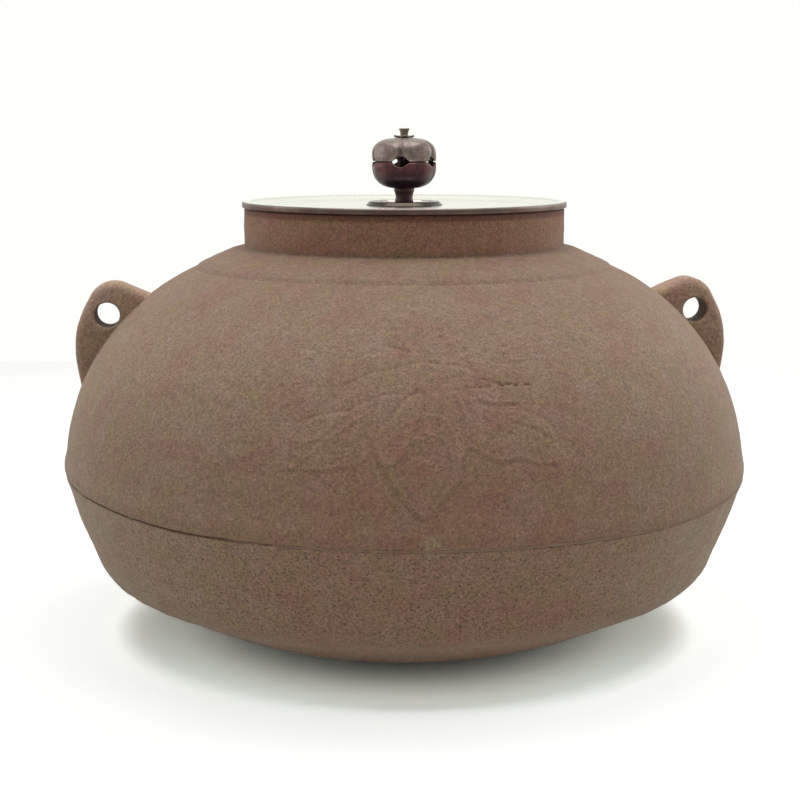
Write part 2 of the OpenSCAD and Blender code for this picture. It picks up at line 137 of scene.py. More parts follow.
# Numbers and curves


def linear(red, green, blue):
    """Linear colour of a screen colour whose parts run from 0 to 255."""
    parts = []
    for part in (red, green, blue):
        share = part / 255
        parts.append(share / 12.92 if share <= 0.04045 else ((share + 0.055) / 1.055) ** 2.4)
    return (*parts, 1.0)


def ease(value, low, high):
    """0 below low, 1 above high and a smooth rise between them."""
    share = np.clip((value - low) / (high - low), 0, 1)
    return share * share * (3 - 2 * share)


def hill(value, width):
    """1 at value 0, falling smoothly to nothing past twice the width."""
    return np.exp(-((value / width) ** 2))


def line(start, end, count):
    """Points from start up to, but without, end."""
    share = np.linspace(0, 1, count, endpoint=False)[:, None]
    return np.array(start) * (1 - share) + np.array(end) * share


def arc(centre, radius, start, end, count):
    """Points on an arc, from one angle up to, but without, another, in radians."""
    turn = np.linspace(start, end, count, endpoint=False)
    return np.array(centre) + radius * np.stack([np.cos(turn), np.sin(turn)], -1)


def corner(before, tip, after, radius, count):
    """Points on the arc that rounds the corner tip between two points."""
    before, tip, after = (np.array(p, float) for p in (before, tip, after))
    u = (before - tip) / np.linalg.norm(before - tip)
    v = (after - tip) / np.linalg.norm(after - tip)
    half = math.acos(np.clip(u @ v, -1, 1)) / 2
    middle = (u + v) / np.linalg.norm(u + v)
    centre = tip + middle * radius / math.sin(half)
    first = tip + u * radius / math.tan(half) - centre
    last = tip + v * radius / math.tan(half) - centre
    start = math.atan2(first[1], first[0])
    sweep = (math.atan2(last[1], last[0]) - start + math.pi) % (2 * math.pi) - math.pi
    turn = start + sweep * np.linspace(0, 1, count)
    return centre + radius * np.stack([np.cos(turn), np.sin(turn)], -1)


def rounded(start, stops, end, count):
    """Points from start up to, but without, end, past stops whose corners are rounded.

    A stop is its place, its radius and the numbers of points on the line to it and on its arc.
    """
    tips = [start, *(stop[0] for stop in stops), end]
    parts = []
    for before, (tip, radius, straight, curved), after in zip(tips, stops, tips[2:]):
        turn = corner(before, tip, after, radius, curved)
        parts += [line(start, turn[0], straight), turn[:-1]]
        start = turn[-1]
    return np.vstack([*parts, line(start, end, count)])


def meet(p, a, q, b):
    """Where the line through p at angle a crosses the line through q at angle b."""
    p, q = np.array(p, float), np.array(q, float)
    d = np.array([math.cos(a), math.sin(a)])
    e = np.array([math.cos(b), math.sin(b)])
    w = q - p
    return p + d * (w[0] * e[1] - w[1] * e[0]) / (d[0] * e[1] - d[1] * e[0])


def bend(points, count=8):
    """Smooth path through points (Catmull-Rom)."""
    points = np.array(points, float)
    ends = np.vstack([2 * points[0] - points[1], points, 2 * points[-1] - points[-2]])
    t = np.linspace(0, 1, count, endpoint=False)[:, None]
    path = []
    for a, b, c, d in zip(ends[:-3], ends[1:-2], ends[2:-1], ends[3:]):
        square = 2 * a - 5 * b + 4 * c - d
        cube = 3 * b - a - 3 * c + d
        path.append(b + 0.5 * ((c - a) * t + square * t**2 + cube * t**3))
    return np.vstack(path + [points[-1:]])


def rough(points, grain, depth=1.0, seed=0.0):
    """Smooth noise between about -depth and depth at each point, with lumps about a grain across."""
    flat = points.reshape(-1, 3) / grain + seed
    values = np.array([noise.noise(p) for p in flat.tolist()])
    return depth * values.reshape(points.shape[:-1])


def lumpy(points, *lumps):
    """Several noises added up, each with its grain, depth and seed."""
    return sum(rough(points, *lump) for lump in lumps)


# Meshes


def even_angles(count):
    """Angles all round the axis, the first at the back."""
    return np.linspace(-math.pi, math.pi, count, endpoint=False)


def ring(radius, height, angles):
    """Points round the axis at angles from the front towards the right."""
    return np.stack([radius * np.sin(angles), -radius * np.cos(angles), height + 0 * angles], -1)


def turned(profile, angles):
    """Grid of points: a section of (radius, height) turned to each angle."""
    return ring(profile[:, :1], profile[:, 1:], angles)


def outward(grid, closed=True):
    """Normals of a grid that runs up the outside of a turned piece, row by row."""
    along = np.roll(grid, -1, 1) - np.roll(grid, 1, 1)
    up = np.gradient(grid, axis=0)
    if closed:
        up = np.roll(grid, -1, 0) - np.roll(grid, 1, 0)
    normal = np.cross(along, up)
    return normal / np.maximum(np.linalg.norm(normal, axis=-1, keepdims=True), 1e-12)


def stand(name, data):
    """A new object in the scene, made from a mesh, a lamp or a camera."""
    thing = bpy.data.objects.new(name, data)
    bpy.context.scene.collection.objects.link(thing)
    return thing


def skin(name, grid, closed=True, poles=(None, None)):
    """Object through a grid of points that is closed round each row, with a point at either end if given."""
    rows, columns, _ = grid.shape
    points = grid.reshape(-1, 3).tolist()
    index = np.arange(rows * columns).reshape(rows, columns)
    low = index if closed else index[:-1]
    high = np.roll(index, -1, 0) if closed else index[1:]
    quads = np.stack([low, np.roll(low, -1, 1), np.roll(high, -1, 1), high], -1)
    faces = quads.reshape(-1, 4).tolist()
    for pole, row in zip(poles, (0, rows - 1)):
        if pole is not None:
            edge = index[row].tolist()
            ends = edge[1:] + edge[:1]
            turn = 1 if row else -1
            faces += [[len(points), *pair[::-turn]] for pair in zip(edge, ends)]
            points.append(list(pole))
    mesh = bpy.data.meshes.new(name)
    mesh.from_pydata(points, [], faces)
    mesh.shade_smooth()
    return stand(name, mesh)


def carve(piece, relief):
    """Notes on a piece how high each of its points stands in the relief, in millimetres; a low value also
    darkens the colour there, partly as painted shade.
    """
    carved = piece.data.attributes.new("relief", "FLOAT", "POINT")
    carved.data.foreach_set("value", relief.astype(np.float32).ravel())
    return piece


def place(piece, material, body, slot, *nodes):
    """Gives a finished piece its material and its body, and hides the nodes that it stands for. The slot is
    not used.
    """
    piece.data.materials.append(material)
    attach(piece, body)
    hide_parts(*nodes)


# Materials


class Graph:
    """Short ways to add nodes to a node tree."""

    def __init__(self, tree):
        self.nodes = tree.nodes
        self.links = tree.links

    def put(self, socket, value):
        """Sets a socket, or links it when the value is another node's output."""
        if isinstance(value, bpy.types.NodeSocket):
            self.links.new(value, socket)
        else:
            socket.default_value = value

    def add(self, kind, output, inputs, **settings):
        """An output of a new node with these inputs and settings."""
        node = self.nodes.new("ShaderNode" + kind)
        for name, setting in settings.items():
            setattr(node, name, setting)
        for socket, value in inputs.items():
            self.put(node.inputs[socket], value)
        return node.outputs[output]

    def span(self, value, low, high, first=0.0, last=1.0):
        """The range from low to high stretched smoothly to that from first to last."""
        inputs = {"Value": value, "From Min": low, "From Max": high, "To Min": first, "To Max": last}
        return self.add("MapRange", "Result", inputs, interpolation_type="SMOOTHSTEP")

    def combine(self, operation, first, second):
        """A sum, product or other operation on two numbers."""
        return self.add("Math", "Value", {0: first, 1: second}, operation=operation)

    def mix(self, share, first, second, blend="MIX", kind="RGBA"):
        """A colour, or a number for the kind FLOAT, between two others."""
        node = self.nodes.new("ShaderNodeMix")
        node.data_type = kind
        if kind == "RGBA":
            node.blend_type = blend
        sockets = {socket.name: socket for socket in node.inputs if socket.enabled}
        for name, value in (("Factor", share), ("A", first), ("B", second)):
            self.put(sockets[name], value)
        return next(socket for socket in node.outputs if socket.enabled)

    def seen(self, first, *others):
        """1 for the kinds of ray that are named, else 0."""
        share = self.add("LightPath", first, {})
        for kind in others:
            share = self.combine("MAXIMUM", share, self.add("LightPath", kind, {}))
        return share


class Look(Graph):
    """A material."""

    def __init__(self, name, metal=0.0, roughness=0.5, specular=0.5):
        self.material = bpy.data.materials.new(name)
        self.material.use_nodes = True
        super().__init__(self.material.node_tree)
        self.spot = self.add("TexCoord", "Object", {})
        self.dress({"Metallic": metal, "Roughness": roughness, "Specular IOR Level": specular})

    def dress(self, inputs):
        """Sets or links inputs of the material's shader."""
        for socket, value in inputs.items():
            self.put(self.nodes["Principled BSDF"].inputs[socket], value)

    def finish(self, colour, roughness=None, normal=None):
        """The material in a colour and, where given, with a roughness and a normal."""
        inputs = {"Base Color": colour, "Roughness": roughness, "Normal": normal}
        self.dress({socket: value for socket, value in inputs.items() if value is not None})
        return self.material

    def noise(self, grain, detail=3.0, rough=0.55, seed=0.0):
        """Noise with lumps about a grain across, in metres."""
        shift = (seed, 0.7 * seed, 1.3 * seed)
        spot = self.add("Mapping", "Vector", {"Vector": self.spot, "Location": shift})
        inputs = {"Vector": spot, "Scale": 1 / grain, "Detail": detail, "Roughness": rough}
        return self.add("TexNoise", "Fac", inputs)

    def height(self):
        """Height above the table, in metres."""
        return self.add("SeparateXYZ", "Z", {"Vector": self.spot})

    def radius(self):
        """Distance from the kettle's axis, in metres."""
        flat = self.add("VectorMath", "Vector", {0: self.spot, 1: (1, 1, 0)}, operation="MULTIPLY")
        return self.add("VectorMath", "Value", {0: flat}, operation="LENGTH")

    def distance(self, point):
        """Distance from a point, in metres."""
        return self.add("VectorMath", "Value", {0: self.spot, 1: point}, operation="DISTANCE")

    def carved(self):
        """Height of the relief on the mesh, in millimetres, whose low values the materials darken, partly as
        painted shade.
        """
        return self.add("Attribute", "Fac", {}, attribute_name="relief")

    def shade(self, colour, value):
        """A colour made darker or lighter by a number."""
        grey = self.add("CombineColor", "Color", {"Red": value, "Green": value, "Blue": value})
        return self.mix(1.0, colour, grey, "MULTIPLY")

    def mottle(self, colour, value, swing):
        """A colour that a noise makes darker and lighter by up to a share."""
        return self.shade(colour, self.span(value, 0.25, 0.75, 1 - swing, 1 + swing))

    def bump(self, height, depth, after=None):
        """Normal of a surface with a height between 0 and 1 that stands for a depth in metres."""
        below = {} if after is None else {"Normal": after}
        return self.add("Bump", "Normal", {"Height": height, "Distance": depth, **below})


def cast_iron(name, tones, coarse, pitted, tints=(), bloom=0.1):
    """Sand-cast iron under a dry patina.

    The tones are brown, red, olive and grey. Coarse is how open the skin is and pitted how dark its pits are.
    Each tint is a colour laid over the others between two heights, full at the first and gone at the second.
    Bloom is the dust that shows where the skin turns away. The front below the seam is redder, and a pale
    smear lies on the seam's middle.
    """
    brown, red, olive, grey = tones
    blush_spot, smear_spot = (0, -BODY_R, 38 * MM), (-2 * MM, -WAIST_R, SEAM_Z)
    look = Look(name, specular=0.35)
    look.dress({"Sheen Weight": bloom, "Sheen Roughness": 0.4, "Sheen Tint": (1, 0.9, 0.76, 1)})
    patch = look.noise(15 * MM, 2, 0.55)
    patch_olive = look.noise(10 * MM, 2, 0.55, 3.1)
    patch_grey = look.noise(12 * MM, 2, 0.55, 7.4)
    cloud = look.noise(2.6 * MM, 3, 0.6, 5.7)
    grain = look.noise(1.0 * MM, 3, 0.7, 1.9)
    sand = look.noise(0.45 * MM, 2, 0.65, 8.3)
    speck = look.noise(0.8 * MM, 2, 0.7, 6.6)
    fleck = look.noise(1.6 * MM, 3, 0.6, 4.9)
    colour = look.mix(look.span(patch, 0.36, 0.64), brown, red)
    colour = look.mix(look.span(patch_olive, 0.42, 0.66, 0, 0.8), colour, olive)
    colour = look.mix(look.span(patch_grey, 0.46, 0.68, 0, 0.7), colour, grey)
    colour = look.mix(look.span(fleck, 0.42, 0.66, 0, 0.5), colour, olive)
    colour = look.shade(colour, look.span(cloud, 0.3, 0.7, 0.92, 1.08))
    blush = look.span(look.distance(blush_spot), 30 * MM, 105 * MM, 1, 0)
    colour = look.mix(blush, colour, (1.03, 0.89, 0.88, 1), "MULTIPLY")
    smear = look.span(look.distance(smear_spot), 2 * MM, 7 * MM, 1, 0)
    smear = look.combine("MULTIPLY", smear, look.span(cloud, 0.36, 0.6, 0, 0.75))
    colour = look.mix(smear, colour, linear(150, 139, 110))
    # Some of these tints are painted light and painted shade, as the callers say.
    for tint, full, none in tints:
        colour = look.mix(look.span(look.height(), full, none, 1, 0), colour, tint, "MULTIPLY")
    colour = look.mottle(look.mottle(colour, grain, 0.27), sand, 0.24)
    hole = look.span(speck, 0.34, 0.47, 1 - pitted, 1)
    # Painted shade where the relief mark is low: in the fine cuts, with dark patina in them too, and in the
    # lugs' holes.
    sunk = look.span(look.carved(), -0.75, -0.05, 0.5, 1.0)
    colour = look.shade(look.shade(colour, hole), sunk)
    normal = look.bump(cloud, 0.14 * MM * coarse)
    normal = look.bump(grain, 0.2 * MM * coarse, normal)
    normal = look.bump(sand, 0.1 * MM * coarse, normal)
    normal = look.bump(hole, 0.12 * MM, normal)
    return look.finish(colour, look.span(grain, 0.2, 0.8, 0.64, 0.88), normal)


def upper_iron(name, coarse, tints):
    """Iron of the upper casting in its brown, red, olive and grey."""
    tones = (linear(140, 115, 98), linear(138, 106, 92), linear(136, 117, 89), linear(142, 120, 107))
    return cast_iron(name, tones, coarse, 0.26 * coarse, tints)


def body_iron():
    """Iron of the upper body: crown darkened as painted shade, neck redder, painted shadow under the lid's
    rim.
    """
    return upper_iron("iron_patina", 1.0, (
        # Painted shade on the crown against the lamp above, full at 140 mm and gone at 112 mm
        ((0.84, 0.8, 0.79, 1), 140 * MM, 112 * MM),
        ((1.28, 1.07, 1.02, 1), NECK_FOOT_Z + 3 * MM, NECK_FOOT_Z),
        # Painted shadow of the lid's rim on the top of the neck
        ((0.6, 0.5, 0.5, 1), MOUTH_Z - 1.6 * MM, MOUTH_Z - 3 * MM),
    ))


def lug_iron():
    """Iron of the ears, paler and bluer along the top as painted light from above."""
    return upper_iron("iron_patina_lug", 0.6, (
        ((1.14, 1.12, 1.1, 1), 60 * MM, 50 * MM),
        # Painted light from above on the tops of the ears, full at 126 mm and gone at 108 mm
        ((1.24, 1.28, 1.4, 1), 126 * MM, 108 * MM),
    ))


def lower_iron():
    """Iron of the bottom: open grain, paler below as painted light from the table."""
    tones = (linear(149, 126, 108), linear(147, 115, 101), linear(144, 126, 96), linear(151, 131, 118))
    # Painted light from the table on the bottom's underside: paler, full at 4 mm up and gone at 26 mm
    return cast_iron("iron_bottom", tones, 1.5, 0.58, (((1.75, 1.6, 1.65, 1), 4 * MM, 26 * MM),), 0.22)


def inner_iron():
    """Dark iron of the plates inside."""
    tones = (linear(92, 74, 62), linear(104, 72, 56), linear(84, 76, 62), linear(112, 92, 78))
    return cast_iron("iron_inside", tones, 1.5, 0.4)


def lute_look():
    """Hardened lacquer and iron powder: dark where it lies deep, brown where it is rubbed flush."""
    look = Look("lute", roughness=0.8, specular=0.2)
    flush = look.span(look.radius(), WAIST_R - 0.45 * MM, WAIST_R - 0.1 * MM)
    smear = look.noise(5 * MM, 4, 0.6)
    deep = look.mix(look.span(smear, 0.4, 0.7), linear(88, 67, 54), linear(110, 86, 69))
    rubbed = look.mix(look.span(smear, 0.4, 0.7), linear(134, 110, 95), linear(146, 124, 107))
    grain = look.noise(0.6 * MM, 3, 0.6)
    return look.finish(look.mix(flush, deep, rubbed), None, look.bump(grain, 0.2 * MM))


def bronze(name, colour, stain, metal, gloss, specular=0.5, below=None):
    """Patinated bronze: two tones in clouds, fine grain, and dirt with painted shade in what is pressed in.

    Below is a darker tone of painted shade, with the heights at which it is full and at which it ends.
    """
    look = Look(name, metal=metal, specular=specular)
    cloud = look.noise(3.2 * MM, 4, 0.65)
    fine = look.noise(0.5 * MM, 3, 0.6, 2.2)
    tone = look.mix(look.span(cloud, 0.38, 0.66), colour, stain)
    tone = look.mottle(tone, fine, 0.16)
    # Painted shade: the darker tone towards the bottom
    if below is not None:
        dark, full, none = below
        tone = look.mix(look.span(look.height(), full, none, 1, 0), tone, dark)
    # Dirt and painted shade where the relief mark is low: in the furrows and round the openings
    tone = look.mix(look.span(look.carved(), -1.0, -0.1, 0.85, 0), tone, linear(66, 45, 46))
    dull = look.span(cloud, 0.3, 0.7, gloss, gloss + 0.16)
    return look.finish(tone, dull, look.bump(fine, 0.03 * MM))


def lid_bronze():
    """Turned bronze: bright on top with turning marks, brown at the rim's side and underneath."""
    look = Look("lid_bronze", metal=1.0)
    look.dress({"Specular Tint": (0.94, 0.94, 0.91, 1)})
    turning = {"W": look.radius(), "Scale": 1 / (0.6 * MM), "Detail": 3.0}
    rings = look.add("TexNoise", "Fac", turning, noise_dimensions="1D")
    cloud = look.noise(14 * MM, 4, 0.6)
    fine = look.noise(0.7 * MM, 3, 0.6, 4.4)
    bright = look.mix(look.span(cloud, 0.4, 0.65), linear(245, 245, 237), linear(239, 239, 230))
    brown = look.mix(look.span(cloud, 0.4, 0.65), linear(106, 91, 80), linear(92, 74, 68))
    ledge = look.combine("ABSOLUTE", look.combine("SUBTRACT", look.radius(), LID_HIGH.x - 3.4 * MM), 0.0)
    bright = look.mix(look.span(ledge, 0.4 * MM, 0.7 * MM, 1, 0), bright, linear(224, 224, 214))
    top = look.span(look.radius(), LID_HIGH.x - 0.75 * MM, LID_HIGH.x - 0.25 * MM, 1, 0)
    upper = look.span(look.height(), LID_LOW.z + 1.2 * MM, LID_LOW.z + 1.4 * MM)
    edge = look.span(look.height(), LID_HIGH.z - 1.1 * MM, LID_HIGH.z - 0.3 * MM, 0, 0.08)
    worn = look.combine("MAXIMUM", look.combine("MULTIPLY", top, upper), edge)
    colour = look.mottle(look.mix(worn, brown, bright), fine, 0.07)
    roughness = look.combine("ADD", look.span(worn, 0, 1, 0.4, 0.17), look.span(cloud, 0.3, 0.7, 0.0, 0.08))
    normal = look.bump(rings, 0.012 * MM)
    return look.finish(colour, roughness, look.bump(fine, 0.01 * MM, normal))


def seat_bronze():
    """Bronze: dull in the dish, bright inside the raised ring, dark on its crest as painted shade, and grey
    outside.
    """
    look = Look("seat_bronze", metal=1.0, roughness=0.2)
    cloud = look.noise(3 * MM, 4, 0.6)
    fine = look.noise(0.5 * MM, 3, 0.6, 2.2)
    inner = look.mix(look.span(cloud, 0.4, 0.65), linear(190, 184, 172), linear(166, 159, 149))
    dish = look.span(look.radius(), SEAT_RING_IN - 1.4 * MM, SEAT_RING_IN - 0.8 * MM, 1, 0)
    crest = look.span(look.radius(), SEAT_RING_IN - 0.1 * MM, SEAT_RING_IN + 0.2 * MM)
    slope = look.span(look.radius(), SEAT_RING_R, SEAT_RING_R + 0.4 * MM)
    colour = look.mix(dish, inner, linear(92, 84, 72))
    # Painted shade: the dark ring on the crest
    colour = look.mix(crest, colour, linear(40, 36, 32))
    colour = look.mix(slope, colour, linear(70, 64, 57))
    metal, specular = look.span(dish, 0, 1, 1, 0), look.span(dish, 0, 1, 0.5, 0.05)
    look.dress({"Metallic": metal, "Specular IOR Level": specular})
    colour = look.mottle(colour, fine, 0.12)
    return look.finish(colour, look.span(cloud, 0.3, 0.7, 0.16, 0.3), look.bump(fine, 0.02 * MM))


IRON = body_iron()
IRON_LUG = lug_iron()
IRON_LOW = lower_iron()
IRON_INSIDE = inner_iron()
LUTE = lute_look()
LID = lid_bronze()
SEAT = seat_bronze()
# Painted shade on the knob's underside, full 7 mm below the lower half's rim and gone 1 mm below it
KNOB_SHADE = (linear(42, 24, 33), LOW_RIM_Z - 7 * MM, LOW_RIM_Z - 1 * MM)
KNOB_DARK = bronze("knob_dark_bronze", linear(94, 59, 58), linear(68, 41, 46), 0.5, 0.28, 0.3, KNOB_SHADE)
KNOB_FOOT = bronze("knob_dark_bronze_foot", linear(84, 62, 58), linear(60, 43, 45), 0.4, 0.36, 0.3)
KNOB_GREY = bronze("knob_grey_bronze", linear(130, 115, 106), linear(102, 85, 81), 0.4, 0.26, 0.5)
TIP = bronze("rod_copper", linear(140, 128, 108), linear(112, 98, 80), 0.5, 0.4)


# Upper body


class Drawing:
    """Heights, in millimetres, of a low relief drawn on the shoulder's front.

    A place is (u, v) in millimetres: u along the surface to the right of the spray's middle and v up from the
    widest line.
    """

    def __init__(self, u, v):
        self.at = np.stack([u, v], -1)
        self.raised = np.zeros(u.shape)
        self.sunk = np.zeros(u.shape)

    def height(self):
        """What is raised, less what is sunken."""
        return self.raised - self.sunk

    def distance(self, path):
        """Distance of every place to a path of points."""
        path = np.array(path, float)
        nearest = np.full(self.raised.shape, np.inf)
        for start, end in zip(path[:-1], path[1:]):
            step = end - start
            share = np.clip(((self.at - start) @ step) / max(step @ step, 1e-9), 0, 1)
            gap = np.linalg.norm(self.at - start - share[..., None] * step, axis=-1)
            nearest = np.minimum(nearest, gap)
        return nearest

    def inside(self, path):
        """Which places lie inside a closed path."""
        u, v = self.at[..., 0], self.at[..., 1]
        found = np.zeros(self.raised.shape, bool)
        for start, end in zip(path, np.roll(path, -1, 0)):
            rise = end[1] - start[1]
            if abs(rise) > 1e-9:
                crosses = (v >= min(start[1], end[1])) & (v < max(start[1], end[1]))
                edge = start[0] + (v - start[1]) * (end[0] - start[0]) / rise
                found ^= crosses & (u < edge)
        return found

    def bead(self, path, depth, width):
        """A raised line."""
        self.raised = np.maximum(self.raised, depth * hill(self.distance(path), width))

    def cut(self, path, depth, width):
        """A sunken line."""
        self.sunk = np.maximum(self.sunk, depth * hill(self.distance(path), width))

    def fold(self, path, depth):
        """A line that is raised along its upper side and sunken along its lower side."""
        path = bend(path)
        self.bead(path + np.array([0, 0.6]), depth, 0.7)
        self.cut(path - np.array([0, 0.6]), depth, 0.7)

    def depth_in(self, outline, path):
        """Distance to a path on a field's outline, less than zero outside the field."""
        return np.where(self.inside(outline), 1, -1) * self.distance(path)

    def plate(self, outline, depth, bank):
        """A raised field with a soft edge, over what lies below it."""
        cover = ease(self.depth_in(outline, outline), -bank / 2, bank)
        self.raised = self.raised * (1 - cover) + depth * cover
        self.sunk = self.sunk * (1 - cover)

    def edge(self, outline, path, rise, groove):
        """Edge of a field along a path: a bead inside it and a groove just outside."""
        gap = self.depth_in(outline, path)
        self.raised = np.maximum(self.raised, rise * hill(gap - 1.3, 0.8))
        self.sunk = np.maximum(self.sunk, groove * hill(gap + 0.1, 0.7))

    def bud(self, middle, size):
        """A hollow bud with a raised rim."""
        turn = np.linspace(0, 2 * math.pi, 13)
        rim = np.array(middle) + 0.8 * size * np.stack([np.cos(turn), np.sin(turn)], -1)
        self.cut([middle, middle], 0.16, 0.7 * size)
        self.bead(rim, 0.2, 0.8)


def side_leaf(drawing, upper, lower, ribs):
    """A leaf between an upper edge that is cut in and a lower edge that stands up."""
    upper, lower = bend(upper), bend(lower)
    outline = np.vstack([upper, lower[::-1]])
    drawing.plate(outline, 0.1, 1.6)
    for rib in ribs:
        drawing.bead(bend(rib), 0.24, 0.8)
    drawing.edge(outline, lower - np.array([0, 0.5]), 0.26, 0.1)
    drawing.cut(upper, 0.17, 0.6)


def middle_leaf(drawing, left, right, cuts, ribs):
    """A leaf that hangs from the top, with both edges standing up and lines cut into it."""
    left, right = bend(left), bend(right)
    outline = np.vstack([left, right[::-1]])
    drawing.plate(outline, 0.12, 1.6)
    for rib in ribs:
        drawing.bead(bend(rib), 0.32, 0.9)
    drawing.edge(outline, left, 0.46, 0.3)
    drawing.edge(outline, right, 0.5, 0.24)
    for depth, path in cuts:
        drawing.cut(bend(path), depth, 0.7)


def sprigs(drawing):
    """Three sprigs of buds: two that bow outwards and one that stands up."""
    drawing.cut(bend([(0, 57), (-9, 54.3), (-15, 53), (-20, 50.3), (-26, 47)]), 0.2, 0.55)
    drawing.cut(bend([(0, 57), (8, 55.8), (13, 55.2), (18, 52.6)]), 0.18, 0.55)
    drawing.cut(bend([(-10.5, 63.2), (-7, 62), (-3, 60.6)]), 0.22, 0.6)
    drawing.cut(bend([(23, 56.2), (28, 55.6), (35, 56)]), 0.2, 0.6)
    drawing.bead(bend([(0, 47), (-0.6, 58), (0.8, 68), (0, 77)]), 0.2, 0.9)
    upright = ((0, 80.5, 2.8), (-5.5, 73, 3.1), (6.5, 73, 2.8), (-6.5, 66, 2.6), (7, 65.5, 2.6))
    bowed = ((14, 60.5, 2.4), (21, 60, 2.2), (27, 61.5, 1.9))
    mirrored = [(-u, v, size) for u, v, size in bowed]
    for u, v, size in (*upright, *mirrored, *bowed):
        drawing.bud((u, v), size)


def spray_relief(u, v):
    """A spray of three leaves under three sprigs of buds, in a low cast relief."""
    drawing = Drawing(u, v)
    sprigs(drawing)
    side_leaf(
        drawing,
        [(-11, 45.5), (-20, 41.4), (-22, 40), (-29, 38.9), (-35, 36.6), (-38, 32), (-40, 26.5)],
        [(-15, 27), (-17, 24.3), (-20.5, 22.8), (-27, 21.5), (-33, 20.7), (-41, 20.9)],
        [
            [(-14, 41), (-26, 32.5), (-38.5, 22.5)],
            [(-23, 38.6), (-28.7, 34), (-32.6, 30.6), (-39, 29.4)],
            [(-31.5, 29), (-36, 24.8)],
            [(-20, 36.5), (-20.5, 27)],
            [(-26.5, 32), (-27.5, 24.5)],
        ],
    )
    side_leaf(
        drawing,
        [(12, 46.5), (17, 44), (23, 40.5), (31, 39.7), (37, 37.4), (41.5, 33.5), (44, 27)],
        [(15, 28.2), (20, 25), (24.5, 23.5), (30.5, 23.9), (36, 22.1), (43.5, 21.7)],
        [
            [(15, 41), (28, 33), (42, 23.5)],
            [(22, 36.5), (22, 27)],
            [(28, 33), (29.5, 26.5)],
            [(34.5, 28.5), (35.5, 24.5)],
        ],
    )
    drawing.fold([(17, 43.2), (23, 42), (30.5, 41.7)], 0.22)
    drawing.fold([(29.5, 35.6), (35, 33.8), (40, 30.8)], 0.18)
    tip = (0, 6.8)
    middle_leaf(
        drawing,
        [(-12.4, 45), (-14.6, 37), (-15.6, 30.4), (-13.8, 25), (-10.5, 18.6), (-6.7, 13.3), (-3.4, 9.2), tip],
        [(11.8, 46), (14.4, 40), (15.8, 34.5), (15, 28.4), (12.3, 23.3), (11.6, 18), (6.8, 12.1),
         (3.8, 8.2), tip],
        [
            (0.3, [(-0.3, 46.9), (-4.8, 43.8), (-7.9, 40.1), (-9.8, 37)]),
            (0.24, [(0.8, 45.4), (1.2, 37), (1.4, 28)]),
            (0.2, [(-6, 20), (-4.2, 25), (-0.5, 26.5), (3, 24.5)]),
            (0.2, [(4, 37), (7.5, 33), (8.2, 27), (7, 21)]),
        ],
        [
            [(1.2, 39), (6.5, 37.5), (10.5, 32)],
            [(1.3, 33), (6.5, 31), (9.5, 25.5)],
            [(1.2, 38), (-5, 36), (-9.5, 30.5)],
            [(1.3, 31.5), (-4.5, 29.5), (-8.5, 23.5)],
            [(0.8, 24), (-3.5, 21.5), (-5.5, 16.5)],
        ],
    )
    return drawing.height()


def casting_marks(u, v):
    """Broken cold shuts in the front of the shoulder."""
    drawing = Drawing(u, v)
    drawing.cut(bend([(14, 47.3), (18, 47.6), (22, 47.8)]), 0.24, 0.6)
    drawing.cut(bend([(19.4, 50.5), (22, 49.5), (24.5, 48.5)]), 0.3, 0.55)
    cracks = (
        [(24.6, 48.3), (26, 48)],
        [(27, 48.5), (28.2, 48.3)],
        [(29.6, 48), (30.6, 47.9)],
        [(33, 47.9), (34.6, 47.8)],
    )
    for crack in cracks:
        drawing.cut(crack, 0.6, 0.4)
    drawing.cut(bend([(-39.5, 58), (-36.5, 57.3), (-34, 57)]), 0.22, 0.7)
    drawing.cut([(27.2, 69.3), (27.8, 69)], 0.25, 0.9)
    return drawing.height()


def front_angles():
    """Angles round the body: first those over the relief, close together, and then the rest."""
    fine = RELIEF_TURN + np.linspace(-RELIEF_HALF, RELIEF_HALF, RELIEF_COLUMNS)
    rest = RELIEF_TURN + np.linspace(RELIEF_HALF, 2 * math.pi - RELIEF_HALF, 152)[1:-1]
    return np.concatenate([fine, rest])


def shoulder_section():
    """Section of the outside from the seam's edge over the lip and up to the collar."""
    edge = np.array([WAIST_R, WAIST_Z - SEAM_CLOSE])
    top = SHOULDER_C + SHOULDER_R * np.array([math.cos(LIP_TURN), math.sin(LIP_TURN)])
    middle_turn = math.radians(46)
    collar_turn = math.acos((COLLAR_R + COLLAR_BANK - SHOULDER_C[0]) / SHOULDER_R)
    lip = corner(top, LIP_CORNER, edge, LIP_ROUND, 9)[::-1]
    return np.vstack([
        edge[None],
        lip,
        line(lip[-1], top, 14)[1:],
        arc(SHOULDER_C, SHOULDER_R, LIP_TURN, middle_turn, 128),
        arc(SHOULDER_C, SHOULDER_R, middle_turn, collar_turn, 50),
    ])


def collar_section():
    """Section of the collar's worn step up from the shoulder."""
    foot_r = COLLAR_R + COLLAR_BANK
    foot = (foot_r, SHOULDER_C[1] + math.sqrt(SHOULDER_R**2 - (foot_r - SHOULDER_C[0]) ** 2))
    return rounded(foot, [((COLLAR_R, COLLAR_Z), COLLAR_ROUND, 4, 5)], COLLAR_CREST, 1)


def neck_section():
    """Section of the collar's slope and the neck as far as the outer edge of the mouth."""
    stops = [
        (COLLAR_CREST, CREST_ROUND, 10, 6),
        ((NECK_R, NECK_FOOT_Z), NECK_FILLET, 3, 6),
        ((NECK_R, MOUTH_Z), MOUTH_ROUND, 12, 5),
    ]
    return rounded(collar_section()[-1], stops, (MOUTH_R, MOUTH_Z), 1)[1:]


